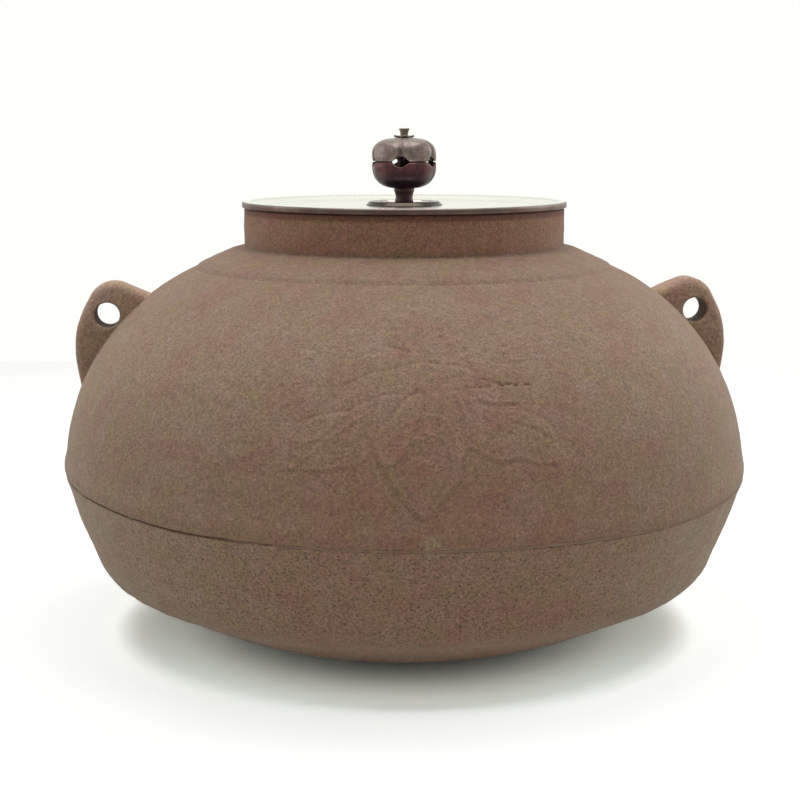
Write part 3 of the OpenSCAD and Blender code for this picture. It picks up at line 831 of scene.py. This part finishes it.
def inner_section():
    """Section from the mouth down the inside to the seam."""
    inner_r = SHOULDER_R - WALL
    start = math.acos((MOUTH_R - SHOULDER_C[0]) / inner_r)
    end = -math.asin(BELLY_RISE / inner_r)
    below = SHOULDER_C + inner_r * np.array([math.cos(start), math.sin(start)])
    rim = [((MOUTH_R, MOUTH_Z), MOUTH_ROUND_IN, 4, 4)]
    return np.vstack([
        rounded((NECK_R - MOUTH_ROUND, MOUTH_Z), rim, below, 6)[1:],
        arc(SHOULDER_C, inner_r, start, end, 22),
        line((INNER_R, WAIST_Z), (WAIST_R, WAIST_Z - SEAM_CLOSE), 3),
    ])


def seam_lift(grid):
    """Height of the seam above its level place: it bows up at both sides and lies higher on the left."""
    aside = ease(np.abs(grid[..., 0]), 0.6 * WAIST_R, WAIST_R)
    return SEAM_BOW * aside - math.tan(SEAM_TILT) * grid[..., 0]


def ragged(grid, seed):
    """Unevenness of a casting's edge along the seam."""
    return rough(grid, 2.2 * MM, 0.4 * MM, seed) * hill(grid[..., 2] - (WAIST_Z + SEAM_Z) / 2, 1.2 * MM)


def front_relief(profile, angles):
    """Relief of the shoulder's front, in millimetres, on the first columns of its grid."""
    u = profile[:, :1] * (angles[:RELIEF_COLUMNS] - RELIEF_TURN) / MM
    v = SHOULDER_R * np.arcsin((profile[:, 1:] - SHOULDER_C[1]) / SHOULDER_R) / MM + 0 * u
    return spray_relief(u, v) + casting_marks(u, v)


def casting_skin(grid, collar_rows, neck_rows):
    """Lift of the uneven skin: lumpy outside, more so on the neck, and worn back along the collar's step."""
    outer = slice(0, neck_rows.stop)
    lift = np.zeros(grid.shape[:2])
    lift[outer] = lumpy(grid[outer], (9 * MM, 0.16 * MM), (2.6 * MM, 0.07 * MM, 4.0))
    lift[neck_rows] += rough(grid[neck_rows], 4 * MM, 0.2 * MM, 1.0)
    lift[collar_rows] -= 0.35 * MM * ease(rough(grid[collar_rows], 11 * MM, 1.0, 7.0), -0.25, 0.2)
    return lift


def upper_body():
    """Lip, shoulder, collar and neck in one casting, with the relief on its front."""
    sections = [shoulder_section(), collar_section(), neck_section(), inner_section()]
    profile = np.vstack(sections)
    shoulder, collar, outer = np.cumsum([len(section) for section in sections[:3]])
    angles = front_angles()
    grid = turned(profile, angles)
    relief = np.zeros(grid.shape[:2])
    relief[:shoulder, :RELIEF_COLUMNS] = front_relief(profile[:shoulder], angles)
    lift = casting_skin(grid, slice(shoulder, collar), slice(collar, outer)) + MM * relief
    lift[:outer] *= 1 - ease(profile[:outer, 1:], MOUTH_Z - 3 * MM, MOUTH_Z - MOUTH_ROUND)
    room = min(BODY_HIGH.x, BODY_HIGH.y) - 0.03 * MM - profile[:, :1]
    grid = grid + np.minimum(lift, room)[..., None] * outward(grid)
    near = 1 - ease(np.abs(profile[:, 1:] - WAIST_Z), 1 * MM, 12 * MM)
    grid[..., 2] += seam_lift(grid) * near + ragged(grid, 5.0)
    piece = carve(skin("kettle_upper_body", grid), relief)
    place(piece, IRON, "kettle", "iron_patina", "upper_body")


# Bottom and seam


def pan_section(depth, z_end, counts):
    """Section of the pan's skin at a depth below its outside, from near the axis up to a height.

    The counts are the points on its flat, the base's arc, the slope, the knee's arc and the side.
    """
    waist = np.array([WAIST_R, SEAM_Z]) + depth * np.array([-math.cos(TAPER), math.sin(TAPER)])
    slope = np.array([UNDER_R, PAN_LOW.z]) + depth * np.array([-math.sin(UNDER), math.cos(UNDER)])
    pole_r = 4 * MM
    start = np.array([pole_r, PAN_LOW.z + depth])
    base = meet(start, 0, slope, UNDER)
    knee = meet(slope, UNDER, waist, math.pi / 2 - TAPER)
    end = meet(waist, math.pi / 2 - TAPER, (0, z_end), 0)
    stops = [(base, BASE_R - depth, *counts[:2]), (knee, KNEE_R - depth, *counts[2:4])]
    return np.vstack([rounded(start, stops, end, counts[4]), end])


def bottom():
    """Pan with the spigot that centres it in the upper body."""
    spigot_r = INNER_R - 0.5 * MM
    spigot_in = spigot_r - 3 * MM
    spigot_top = PAN_HIGH.z
    seam_z = SEAM_Z + SEAM_CLOSE
    outside = pan_section(0, seam_z, (8, 26, 28, 12, 44))
    inside = pan_section(WALL, seam_z, (6, 12, 10, 6, 8))
    inside = inside[inside[:, 0] < spigot_in]
    spigot_foot = meet(inside[-1], math.pi / 2 - TAPER, (spigot_in, 0), math.pi / 2)
    profile = np.vstack([
        outside[:-1],
        corner(outside[-2], outside[-1], (spigot_r, seam_z), 0.4 * MM, 4),
        line((WAIST_R - 1.5 * MM, seam_z), (spigot_r, seam_z), 2),
        line((spigot_r, seam_z), (spigot_r, spigot_top), 3),
        line((spigot_r, spigot_top), (spigot_in, spigot_top), 2),
        line((spigot_in, spigot_top), spigot_foot, 3),
        spigot_foot[None],
        inside[::-1],
    ])
    grid = turned(profile, even_angles(360))
    rows = len(outside) + 3
    lift = np.zeros(grid.shape[:2])
    lumps = lumpy(grid[:rows], (7 * MM, 0.2 * MM, 2.0), (2.2 * MM, 0.14 * MM, 9.0))
    lift[:rows] = lumps * ease(profile[:rows, 1:], 0.2 * MM, 4 * MM)
    grid = grid + lift[..., None] * outward(grid, closed=False)
    near = ease(profile[:, 1:], SEAM_Z - 10 * MM, SEAM_Z - 1 * MM)
    grid[..., 2] += seam_lift(grid) * near + ragged(grid, 11.0)
    poles = ((0, 0, PAN_LOW.z), (0, 0, PAN_LOW.z + WALL))
    piece = skin("kettle_bottom", grid, closed=False, poles=poles)
    place(piece, IRON_LOW, "kettle", "iron_bottom", "bottom")


def seam_lute():
    """Ring of lute: deep in the groove at the left of the front and at the back, rubbed flush elsewhere."""
    angles = even_angles(480)
    left_turn, left_wide, back_wide = (math.radians(part) for part in (-67, 42, 40))
    left = hill(angles - left_turn, left_wide)
    back = hill(np.abs(angles) - math.pi, back_wide)
    deep = np.clip(left + 0.6 * back, 0, 1)
    wear = rough(ring(WAIST_R, WAIST_Z, angles), 8 * MM, 1.0, 3.0)
    outer = WAIST_R + MM * (0.08 - 0.75 * deep + (0.12 + 0.2 * deep) * wear)
    levels = (SEAM_Z - 0.05 * MM, SEAM_Z + 0.2 * MM, WAIST_Z - 0.2 * MM, WAIST_Z + 0.05 * MM)
    rows = []
    for level, set_back in zip(levels, (0.1, 0, 0, 0.1)):
        rows.append(ring(outer - set_back * MM, level, angles))
    for level in (levels[-1], levels[0]):
        rows.append(ring(INNER_R, level, angles))
    grid = np.array(rows)
    grid[..., 2] += seam_lift(grid)
    piece = skin("waist_seam_lute", grid)
    place(piece, LUTE, "kettle", "lute", "seam_lute")


# Lugs


def lug_section(hole):
    """Outline of the right ear in its plane, and how close each point is to the wall, from 0 to 1."""
    top = hole + MM * np.array([1.9, 14.6])
    side = hole + MM * np.array([13.5, -6.6])
    top_slope, tail_slope = math.radians(23.5), math.radians(9.5)
    reach, side_r, head_r = 40 * MM, 34 * MM, 9.5 * MM
    sunk = SHOULDER_R - 3 * MM
    root_top = top - reach * np.array([math.cos(top_slope), math.sin(top_slope)])
    root_low = side - reach * np.array([math.sin(tail_slope), math.cos(tail_slope)])
    path = rounded(root_low, [(side, side_r, 40, 40), (top, head_r, 6, 40)], root_top, 40)
    path = path[np.linalg.norm(path - SHOULDER_C, axis=1) > sunk]
    ends = [math.atan2(*(p - SHOULDER_C)[::-1]) for p in (path[-1], path[0])]
    path = np.vstack([path, arc(SHOULDER_C, sunk, ends[0], ends[1], 36)[1:]])
    near = 1 - ease(np.linalg.norm(path - SHOULDER_C, axis=1) - sunk, 0, 2.4 * MM)
    return path, near


def lug_rows(hole, hole_r, path, near):
    """Loops of points in the ear's plane, and their depths: hole, one face, edge and other face."""
    along = np.roll(path, -1, 0) - np.roll(path, 1, 0)
    normal = np.stack([along[:, 1], -along[:, 0]], -1)
    normal /= np.linalg.norm(normal, axis=1, keepdims=True)
    spoke = path - hole
    spoke /= np.linalg.norm(spoke, axis=1, keepdims=True)
    rounding = LUG_ROUND * (1 - near)
    bore = []
    for share in np.linspace(-1, 1, BORE_ROWS):
        bore.append((hole + hole_r * spoke, share * (LUG_HALF - LUG_BEVEL) + 0 * near))
    face = []
    for turn in np.linspace(0, math.pi / 2, BEVEL_ROWS + 1)[1:]:
        rim = hole + (hole_r + LUG_BEVEL * (1 - math.cos(turn))) * spoke
        face.append((rim, LUG_HALF - LUG_BEVEL * (1 - math.sin(turn)) + 0 * near))
    inset = path - rounding[:, None] * normal
    for share in np.linspace(0.12, 1, 8):
        face.append((rim * (1 - share) + inset * share, LUG_HALF + 0 * near))
    for turn in np.linspace(0, math.pi / 2, 7)[1:]:
        loop = path - (rounding * (1 - math.sin(turn)))[:, None] * normal
        face.append((loop, LUG_HALF - rounding * (1 - math.cos(turn))))
    edge = [(face[-1][0], share * face[-1][1]) for share in (0.5, 0, -0.5)]
    return bore + face + edge + [(loop, -depth) for loop, depth in face[::-1]]


def lug(name, side, node):
    """An ear with uneven faces and a hole painted dark as shade, at the place of its mount."""
    mount = next(m for m in frame["record"]["mounts"] if m["name"].startswith(node.split("_")[0]))
    hole = np.array([abs(mount["pos_m"][0]), mount["pos_m"][2]])
    rows = lug_rows(hole, mount["dims"]["r_mm"] * MM, *lug_section(hole))
    grid = np.array([np.stack([side * loop[:, 0], depth, loop[:, 1]], -1) for loop, depth in rows])
    uneven = np.zeros((len(rows), 1))
    uneven[BORE_ROWS + BEVEL_ROWS:-BEVEL_ROWS] = 1
    wobble = lumpy(grid, (5 * MM, 0.16 * MM), (1.8 * MM, 0.05 * MM, 5.0))
    grid = grid - side * (wobble * uneven)[..., None] * outward(grid)
    relief = np.zeros(grid.shape[:2])
    # Painted shade in the hole and on the first rows of its bevel, as a low relief mark that the iron darkens
    relief[:BORE_ROWS + 3] = -0.7
    if side > 0:
        grid = grid[:, ::-1]
    piece = carve(skin(name, grid), relief)
    place(piece, IRON_LUG, "kettle", "iron_patina", node)


# Lid


def lid_plate():
    """Turned plate with a raised rim round a sunken panel."""
    lid_r = LID_HIGH.x
    ring_r = 52.4 * MM
    panel_z, top_z = LID_LOW.z, LID_LOW.z + 1.6 * MM
    rim_in = lid_r - 3 * MM
    dish = LID_HIGH.z - top_z
    low, high, inner = (lid_r, MOUTH_Z), (lid_r, LID_HIGH.z), (rim_in, LID_HIGH.z)
    bank = 2.4 * dish
    foot = (rim_in - bank, top_z)
    profile = np.vstack([
        line((ROD_HOLE_R, panel_z), (ring_r, panel_z), 10),
        line((ring_r, panel_z), (ring_r, MOUTH_Z), 2),
        line((ring_r, MOUTH_Z), (lid_r - 0.8 * MM, MOUTH_Z), 4),
        corner((ring_r, MOUTH_Z), low, high, 0.6 * MM, 6),
        corner(low, high, inner, 0.8 * MM, 8),
        corner(high, inner, foot, 0.7 * MM, 6),
        corner(inner, foot, (ROD_HOLE_R, top_z), 1.5 * MM, 8),
        line((foot[0] - 1.2 * MM, top_z), (ROD_HOLE_R, top_z), 24)[1:],
        [(ROD_HOLE_R, top_z)],
    ])
    grid = turned(profile, even_angles(256))
    grid[..., 2] += rough(grid, 45 * MM, 0.06 * MM, 6.0) * ease(profile[:, :1], 16 * MM, 30 * MM)
    piece = skin("lid_plate_turned", grid)
    place(piece, LID, "lid", "lid_bronze", "lid_plate")


def knob_seat():
    """Washer that slopes up from its edge to a raised ring round a dish."""
    seat_r = SEAT_HIGH.x
    base_z, high_z = SEAT_LOW.z, SEAT_HIGH.z
    edge_z, dish_z = base_z + 0.3 * MM, base_z + 0.7 * MM
    edge, crest, inner = (seat_r, edge_z), (SEAT_RING_R, high_z), (SEAT_RING_IN, high_z)
    foot = (SEAT_RING_IN - (high_z - dish_z), dish_z)
    crest_arc = corner(edge, crest, inner, 0.5 * MM, 6)
    profile = np.vstack([
        line((ROD_HOLE_R, base_z), (seat_r, base_z), 6),
        [(seat_r, base_z)],
        corner((seat_r, base_z), edge, crest, 0.12 * MM, 4),
        line((seat_r - 0.2 * MM, edge_z + 0.1 * MM), crest_arc[0], 6)[1:],
        crest_arc,
        corner(crest, inner, foot, 0.5 * MM, 6),
        corner(inner, foot, (ROD_HOLE_R, dish_z), 0.7 * MM, 6),
        line((foot[0] - 0.7 * MM, dish_z), (ROD_HOLE_R, dish_z), 8)[1:],
        [(ROD_HOLE_R, dish_z)],
    ])
    grid = turned(profile, even_angles(160))
    grid[..., 2] -= np.abs(rough(grid, 8 * MM, 0.08 * MM, 1.0)) * ease(profile[:, 1:], base_z, dish_z)
    piece = skin("knob_seat_dished", grid)
    place(piece, SEAT, "lid", "seat_bronze", "knob_seat")


# Knob


def opening_offset(angles):
    """Distance along the rim from the nearest opening's middle."""
    pitch = 2 * math.pi / OPENINGS
    return BELL_R * ((angles - OPENING_TURN + pitch / 2) % pitch - pitch / 2)


def bell_side(radius, rise, end_r, squareness, cut, rows):
    """Rows from a cut rim to the flat at the pole, as radius and height above the rim."""
    start = np.arcsin(np.clip(cut / rise, 0, 1) ** (squareness / 2))
    end = math.acos((end_r / radius) ** (squareness / 2))
    turn = start + (end - start) * np.linspace(0, 1, rows)[:, None]
    return radius * np.cos(turn) ** (2 / squareness), rise * np.sin(turn) ** (2 / squareness)


def opening_cut(offset):
    """How far the rim is cut back at a distance from an opening's middle."""
    return OPENING_H * np.clip((OPENING_W / 2 - np.abs(offset)) / (OPENING_W / 2 - OPENING_TIP / 2), 0, 1)


def pressed(radius, level, offset, height, furrow, lip):
    """Radius of the bell with its furrows pressed in and the lips of its openings turned out."""
    up = level / height
    width = 0.8 * MM + 1.0 * MM * (1 - ease(up, 0.1, 0.55))
    depth = furrow * (0.55 + 0.45 * (1 - ease(up, 0.2, 0.7))) * (1 - ease(up, 0.9, 1.0))
    cheek = lip * hill(np.abs(offset) - 2.6 * MM, 1.0 * MM) * hill(up - 0.5, 0.35)
    rolled = 0.25 * MM * hill(level - opening_cut(offset) + 0.1 * MM, 0.25 * MM)
    crease = 0.25 * depth * hill(offset, 0.4 * width)
    return radius - depth * hill(offset, width) + crease + cheek - rolled


def lap_rows(offset, inside_r, lap):
    """Rows of the ring that stands up behind the other half's rim, left out at the openings."""
    cut = opening_cut(offset)
    open_here = np.abs(offset) < OPENING_W / 2 + 0.15 * MM
    end = np.where(open_here, cut, -lap)
    foot = np.where(open_here, cut, 0.1 * MM)
    path = ((LAP_R - LAP_T, foot), (LAP_R - LAP_T, end), (LAP_R, end), (LAP_R, foot))
    return [(np.where(open_here, inside_r, radius), level) for radius, level in path]


def bell_shell(name, rim_z, pole, height, flat_r, squareness, furrow, lip, lap=None):
    """A pressed half of the bell.

    Its rim is cut back at each opening, where a furrow runs from it to the pole. A lap is the height that it
    stands up behind the other half's rim.
    """
    angles = even_angles(300)
    offset = opening_offset(angles)
    cut = opening_cut(offset)
    plain_r, out_z = bell_side(BELL_R, height, flat_r, squareness, cut, 34)
    in_r, in_z = bell_side(BELL_R - BELL_WALL, height - BELL_WALL, SPACER_R, squareness, cut, 16)
    out_r = np.minimum(pressed(plain_r, out_z, offset, height, furrow, lip), BELL_R - 0.02 * MM)
    in_r = pressed(in_r, in_z, offset, height, furrow, lip)
    # Dirt and painted shade round each opening, strongest at the rim and gone halfway up
    dirt_and_shade = furrow * hill(offset, 2.2 * MM) * (1 - ease(out_z / height, 0.0, 0.5)) / MM
    sunk = np.minimum(np.minimum(out_r - plain_r, 0) / MM, -0.7 * dirt_and_shade)
    uneven = 0.13 * MM + rough(ring(BELL_R, rim_z, angles), 3 * MM, 0.12 * MM, 5.0)
    close = uneven * (1 - ease(cut, 0, 0.3 * MM))
    out_z[:2] -= close
    hole_r = ROD_HOLE_R + 0 * angles
    rows = [*zip(out_r, out_z), (hole_r, out_z[-1]), (hole_r, in_z[-1]), *zip(in_r[::-1], in_z[::-1])]
    if lap is not None:
        rows += lap_rows(offset, in_r[0], lap)
    rows.append(((out_r[0] + in_r[0]) / 2, cut - close - 0.02 * MM))
    grid = np.array([ring(radius, rim_z + pole * level, angles) for radius, level in rows])
    outer = slice(0, len(out_r))
    dent = rough(grid[outer], 4 * MM, 0.08 * MM, 2.5) - 0.08 * MM
    reach = np.maximum(np.linalg.norm(grid[outer, :, :2], axis=-1), SPACER_R)
    grid[outer, :, :2] *= (1 + dent / reach)[..., None]
    relief = np.zeros(grid.shape[:2])
    relief[outer] = sunk
    if pole < 0:
        grid, relief = grid[:, ::-1], relief[:, ::-1]
    return carve(skin(name, grid), relief)


def knob_lower_shell():
    """Full, dark half with shallow furrows and a lap behind the upper half's rim."""
    form = {"height": 9.6 * MM, "flat_r": 3.75 * MM, "squareness": 2.8, "furrow": 0.12 * MM, "lip": 0.05 * MM}
    piece = bell_shell("knob_bell_lower_half", LOW_RIM_Z, -1, **form, lap=SHELL_HIGH.z - LOW_RIM_Z)
    place(piece, KNOB_DARK, "knob", "knob_dark_bronze", "knob_lower_shell")


def knob_upper_shell():
    """Grey half with deep furrows."""
    form = {"height": 8.3 * MM, "flat_r": SPACER_R, "squareness": 3.1, "furrow": 1.1 * MM, "lip": 0.16 * MM}
    piece = bell_shell("knob_bell_upper_half", CROWN_LOW.z, 1, **form)
    place(piece, KNOB_GREY, "knob", "knob_grey_bronze", "knob_upper_shell")


def knob_stem():
    """Waisted foot of the knob between a ledge below and a collar above."""
    foot_r, collar_r = 3.4 * MM, STEM_HIGH.x
    ledge = 1 * MM
    low, high = STEM_LOW.z, STEM_HIGH.z
    share = np.linspace(0, 1, 14)
    waist_r = foot_r + (collar_r - foot_r) * share**2 - 0.3 * MM * np.sin(math.pi * share)
    waist_z = low + ledge + (high - low - 2 * ledge) * share
    foot_low, foot_high = (foot_r, low), (foot_r, low + ledge)
    collar_low, collar_high = (collar_r, high - ledge), (collar_r, high)
    profile = np.vstack([
        line((ROD_HOLE_R, low), (foot_r - 0.3 * MM, low), 3),
        corner((ROD_HOLE_R, low), foot_low, foot_high, 0.25 * MM, 4),
        corner(foot_low, foot_high, (waist_r[1], waist_z[1]), 0.25 * MM, 4),
        np.stack([waist_r, waist_z], -1)[1:-1],
        corner((waist_r[-2], waist_z[-2]), collar_low, collar_high, 0.2 * MM, 4),
        corner(collar_low, collar_high, (ROD_HOLE_R, high), 0.2 * MM, 4),
        line((collar_r - 0.4 * MM, high), (ROD_HOLE_R, high), 3),
        [(ROD_HOLE_R, high)],
    ])
    grid = turned(profile, even_angles(72))
    dent = rough(grid, 2.2 * MM, 0.14 * MM, 3.0) * ease(profile[:, :1], 2 * MM, 2.6 * MM)
    grid = grid + dent[..., None] * outward(grid) * np.array([1, 1, 0])
    piece = skin("knob_stem_waisted", grid)
    place(piece, KNOB_FOOT, "knob", "knob_dark_bronze", "knob_stem")


def tip_washer():
    """Thin washer whose edge turns up in four petals."""
    low = CALYX_LOW.z
    thick, lift = 0.8 * MM, 0.4 * MM
    edge_r = CALYX_HIGH.x
    angles = even_angles(120)
    petal = 0.5 + 0.5 * np.cos(4 * angles)
    spread = np.linspace(SPACER_R, edge_r, 8)
    climb = lift * ((spread - SPACER_R) / (edge_r - SPACER_R)) ** 1.6
    under = [(ROD_HOLE_R, 0)] + list(zip(spread, climb))
    over = [(r, z + thick) for r, z in under[::-1]]
    over[0] = (edge_r - 0.1 * MM, lift + 0.6 * thick)
    rows = []
    for radius, level in under + over:
        notch = ease(radius, SPACER_R, edge_r) * (1 - petal)
        rows.append(ring(radius * (1 - 0.3 * notch), low + level * (1 - 0.5 * notch), angles))
    piece = skin("knob_tip_washer", np.array(rows))
    place(piece, KNOB_GREY, "knob", "knob_grey_bronze", "tip_washer")


def knob_rod():
    """Rod with a flared, cupped tip and a hammered end under the lid."""
    rod_r, tip_r, peen_r, pole_r = 1.1 * MM, 2 * MM, 2 * MM, 0.4 * MM
    tip_z, top, foot = ROD_HIGH.z - 3 * MM, ROD_HIGH.z, ROD_LOW.z
    peen_top = foot + 1.2 * MM
    flare_z = tip_z + 0.75 * MM
    cup = 0.6 * MM
    rim, cup_edge = (tip_r, top), (tip_r - cup, top)
    flare_low, flare_high = np.array([1.4 * MM, flare_z]), np.array([tip_r - 0.1 * MM, top - 0.3 * MM])
    share = np.linspace(0, 1, 8)[:, None]
    flare = flare_low * (1 - share) + flare_high * share
    flare[:, 0] -= 0.08 * MM * np.sin(math.pi * share[:, 0])
    profile = np.vstack([
        line((pole_r, foot), (peen_r / 2, foot), 3),
        arc((peen_r - 0.8 * MM, foot + 0.7 * MM), 0.75 * MM, -1.2, 0.2, 6),
        corner((peen_r, foot + 0.6 * MM), (peen_r, peen_top), (rod_r, peen_top), 0.2 * MM, 4),
        line((rod_r, peen_top), (rod_r, flare_z), 12),
        flare,
        corner(flare[-2], rim, cup_edge, 0.12 * MM, 4),
        corner(rim, cup_edge, (0, top - cup), 0.12 * MM, 4),
        line((tip_r - cup - 0.1 * MM, top - 0.05 * MM), (pole_r, top - cup), 5),
    ])
    grid = turned(profile, even_angles(64))
    worn = 0.25 * MM * ease(rough(grid, 1.6 * MM, 1.0, 2.0), 0.0, 0.5)
    grid[..., 2] -= worn * ease(profile[:, 1:], flare_z, top)
    poles = ((0, 0, foot), (0, 0, top - cup))
    piece = skin("knob_through_rod", grid, closed=False, poles=poles)
    place(piece, TIP, "knob", "rod_copper", "knob_rod")


def dress_inner_nodes():
    """Materials of the solids that stay as they are."""
    looks = {f"sound_plate_{number}": IRON_INSIDE for number in (1, 2, 3)}
    looks |= {"sound_plate_lute": LUTE, "lid_ring": LID, "back_washer": LID, "knob_spacer": KNOB_DARK}
    for node, look in looks.items():
        data = frame["nodes"][node].data
        data.materials.clear()
        data.materials.append(look)


# Stage


def table_look():
    """White table top. Camera and glossy rays see it paler than the colour with which it lights the kettle:
    painted light, which lifts it most in the kettle's shadow.
    """
    look = Look("table_white", roughness=0.8, specular=0.0)
    shadow_r, fall = 110 * MM, 7.5
    cloud = look.noise(0.3, 2, 0.5)
    white = look.mix(cloud, linear(253, 253, 250), linear(250, 251, 248))
    away = look.radius()
    # Painted light for camera and glossy rays: the colour rises up to about four times near the kettle to
    # lift its shadow, and falls to 0.9 far away
    fade = look.combine("POWER", look.combine("DIVIDE", shadow_r, away), fall)
    outer = look.mix(fade, (0.9, 0.9, 0.915, 1), (2.13, 2.22, 2.29, 1))
    # Most painted light in front of the kettle and a little to its left
    front = look.span(look.distance((-12 * MM, -90 * MM, 0)), 0, 150 * MM, 1, 0)
    inner = look.mix(front, (1.3, 1.4, 1.38, 1), (3.5, 4.2, 4.37, 1))
    # Less painted light at the kettle's foot, so its contact shadow stays darker
    contact = look.span(away, 60 * MM, 85 * MM, 0.7, 1)
    painted_light = look.mix(look.span(away, 90 * MM, 113 * MM), look.shade(inner, contact), outer)
    shown = look.mix(1.0, white, painted_light, "MULTIPLY")
    seen = look.seen("Is Camera Ray", "Is Glossy Ray")
    return look.finish(look.mix(seen, linear(200, 200, 197), shown))


def floor():
    """Table top that ends behind the kettle, its far edge at an angle to the line of the lugs."""
    turn, half, front, back = math.radians(-9.3), 1.4, -1.2, 0.658
    mesh = bpy.data.meshes.new("table_top")
    corners = []
    for x, y in ((-half, front), (half, front), (half, back), (-half, back)):
        corners.append((x * math.cos(turn) - y * math.sin(turn), x * math.sin(turn) + y * math.cos(turn), 0))
    mesh.from_pydata(corners, [], [(0, 1, 2, 3)])
    mesh.materials.append(table_look())
    piece = stand("table_top", mesh)


def softbox(name, spot, aim, size, power):
    """Square lamp at a spot, turned towards its aim."""
    data = bpy.data.lights.new(name, "AREA")
    data.shape = "RECTANGLE"
    data.size = data.size_y = size
    data.energy = power
    light = stand(name, data)
    light.location = spot
    light.rotation_euler = (Vector(aim) - Vector(spot)).to_track_quat("-Z", "Y").to_euler()


def world():
    """White room: bright above and behind the kettle, dim in front of it."""
    sky = bpy.data.worlds.new("studio")
    bpy.context.scene.world = sky
    sky.use_nodes = True
    graph = Graph(sky.node_tree)
    way = graph.add("TexCoord", "Generated", {})
    up = graph.add("SeparateXYZ", "Z", {"Vector": way})
    back = graph.add("SeparateXYZ", "Y", {"Vector": way})
    ambient = graph.combine("ADD", graph.span(up, 0, 1, 0.24, 0.34), graph.span(back, -0.4, 0.5, 0, 0.36))
    mirrored = graph.span(back, -0.7, 0.3, 0.4, 1.0)
    strength = graph.mix(graph.seen("Is Glossy Ray", "Is Transmission Ray"), ambient, mirrored, kind="FLOAT")
    strength = graph.mix(graph.seen("Is Camera Ray"), strength, 1.0, kind="FLOAT")
    shader = graph.nodes["Background"]
    graph.put(shader.inputs["Strength"], strength)
    graph.put(shader.inputs["Color"], linear(255, 255, 251))


def camera():
    """Camera at the photograph's place, measured from the kettle's axis."""
    distance, height = 0.59421, 0.18506
    pitch, turn = math.radians(9.611), math.radians(-5.0)
    aside = math.radians(0.149)
    data = bpy.data.cameras.new("camera")
    data.lens, data.sensor_width = 72.15, 36
    data.clip_start = 0.01
    view = stand("camera", data)
    view.location = (distance * math.sin(turn), -distance * math.cos(turn), height)
    view.rotation_euler = (math.pi / 2 - pitch, 0, turn + aside)
    bpy.context.scene.camera = view


upper_body()
bottom()
seam_lute()
lug("lug_left", -1, "left_lug")
lug("lug_right", 1, "right_lug")
lid_plate()
knob_seat()
knob_stem()
knob_lower_shell()
knob_upper_shell()
tip_washer()
knob_rod()
dress_inner_nodes()

floor()
softbox("top_softbox", (0, -0.1, 1.5), (0, 0, 0.05), 1.4, 20)
softbox("left_softbox", (-1.3, 0.35, 0.6), (0, 0, 0.1), 1.0, 3)
softbox("right_softbox", (1.3, 0.35, 0.6), (0, 0, 0.1), 1.0, 5.2)
world()
camera()
bpy.context.scene.view_settings.view_transform = "Standard"
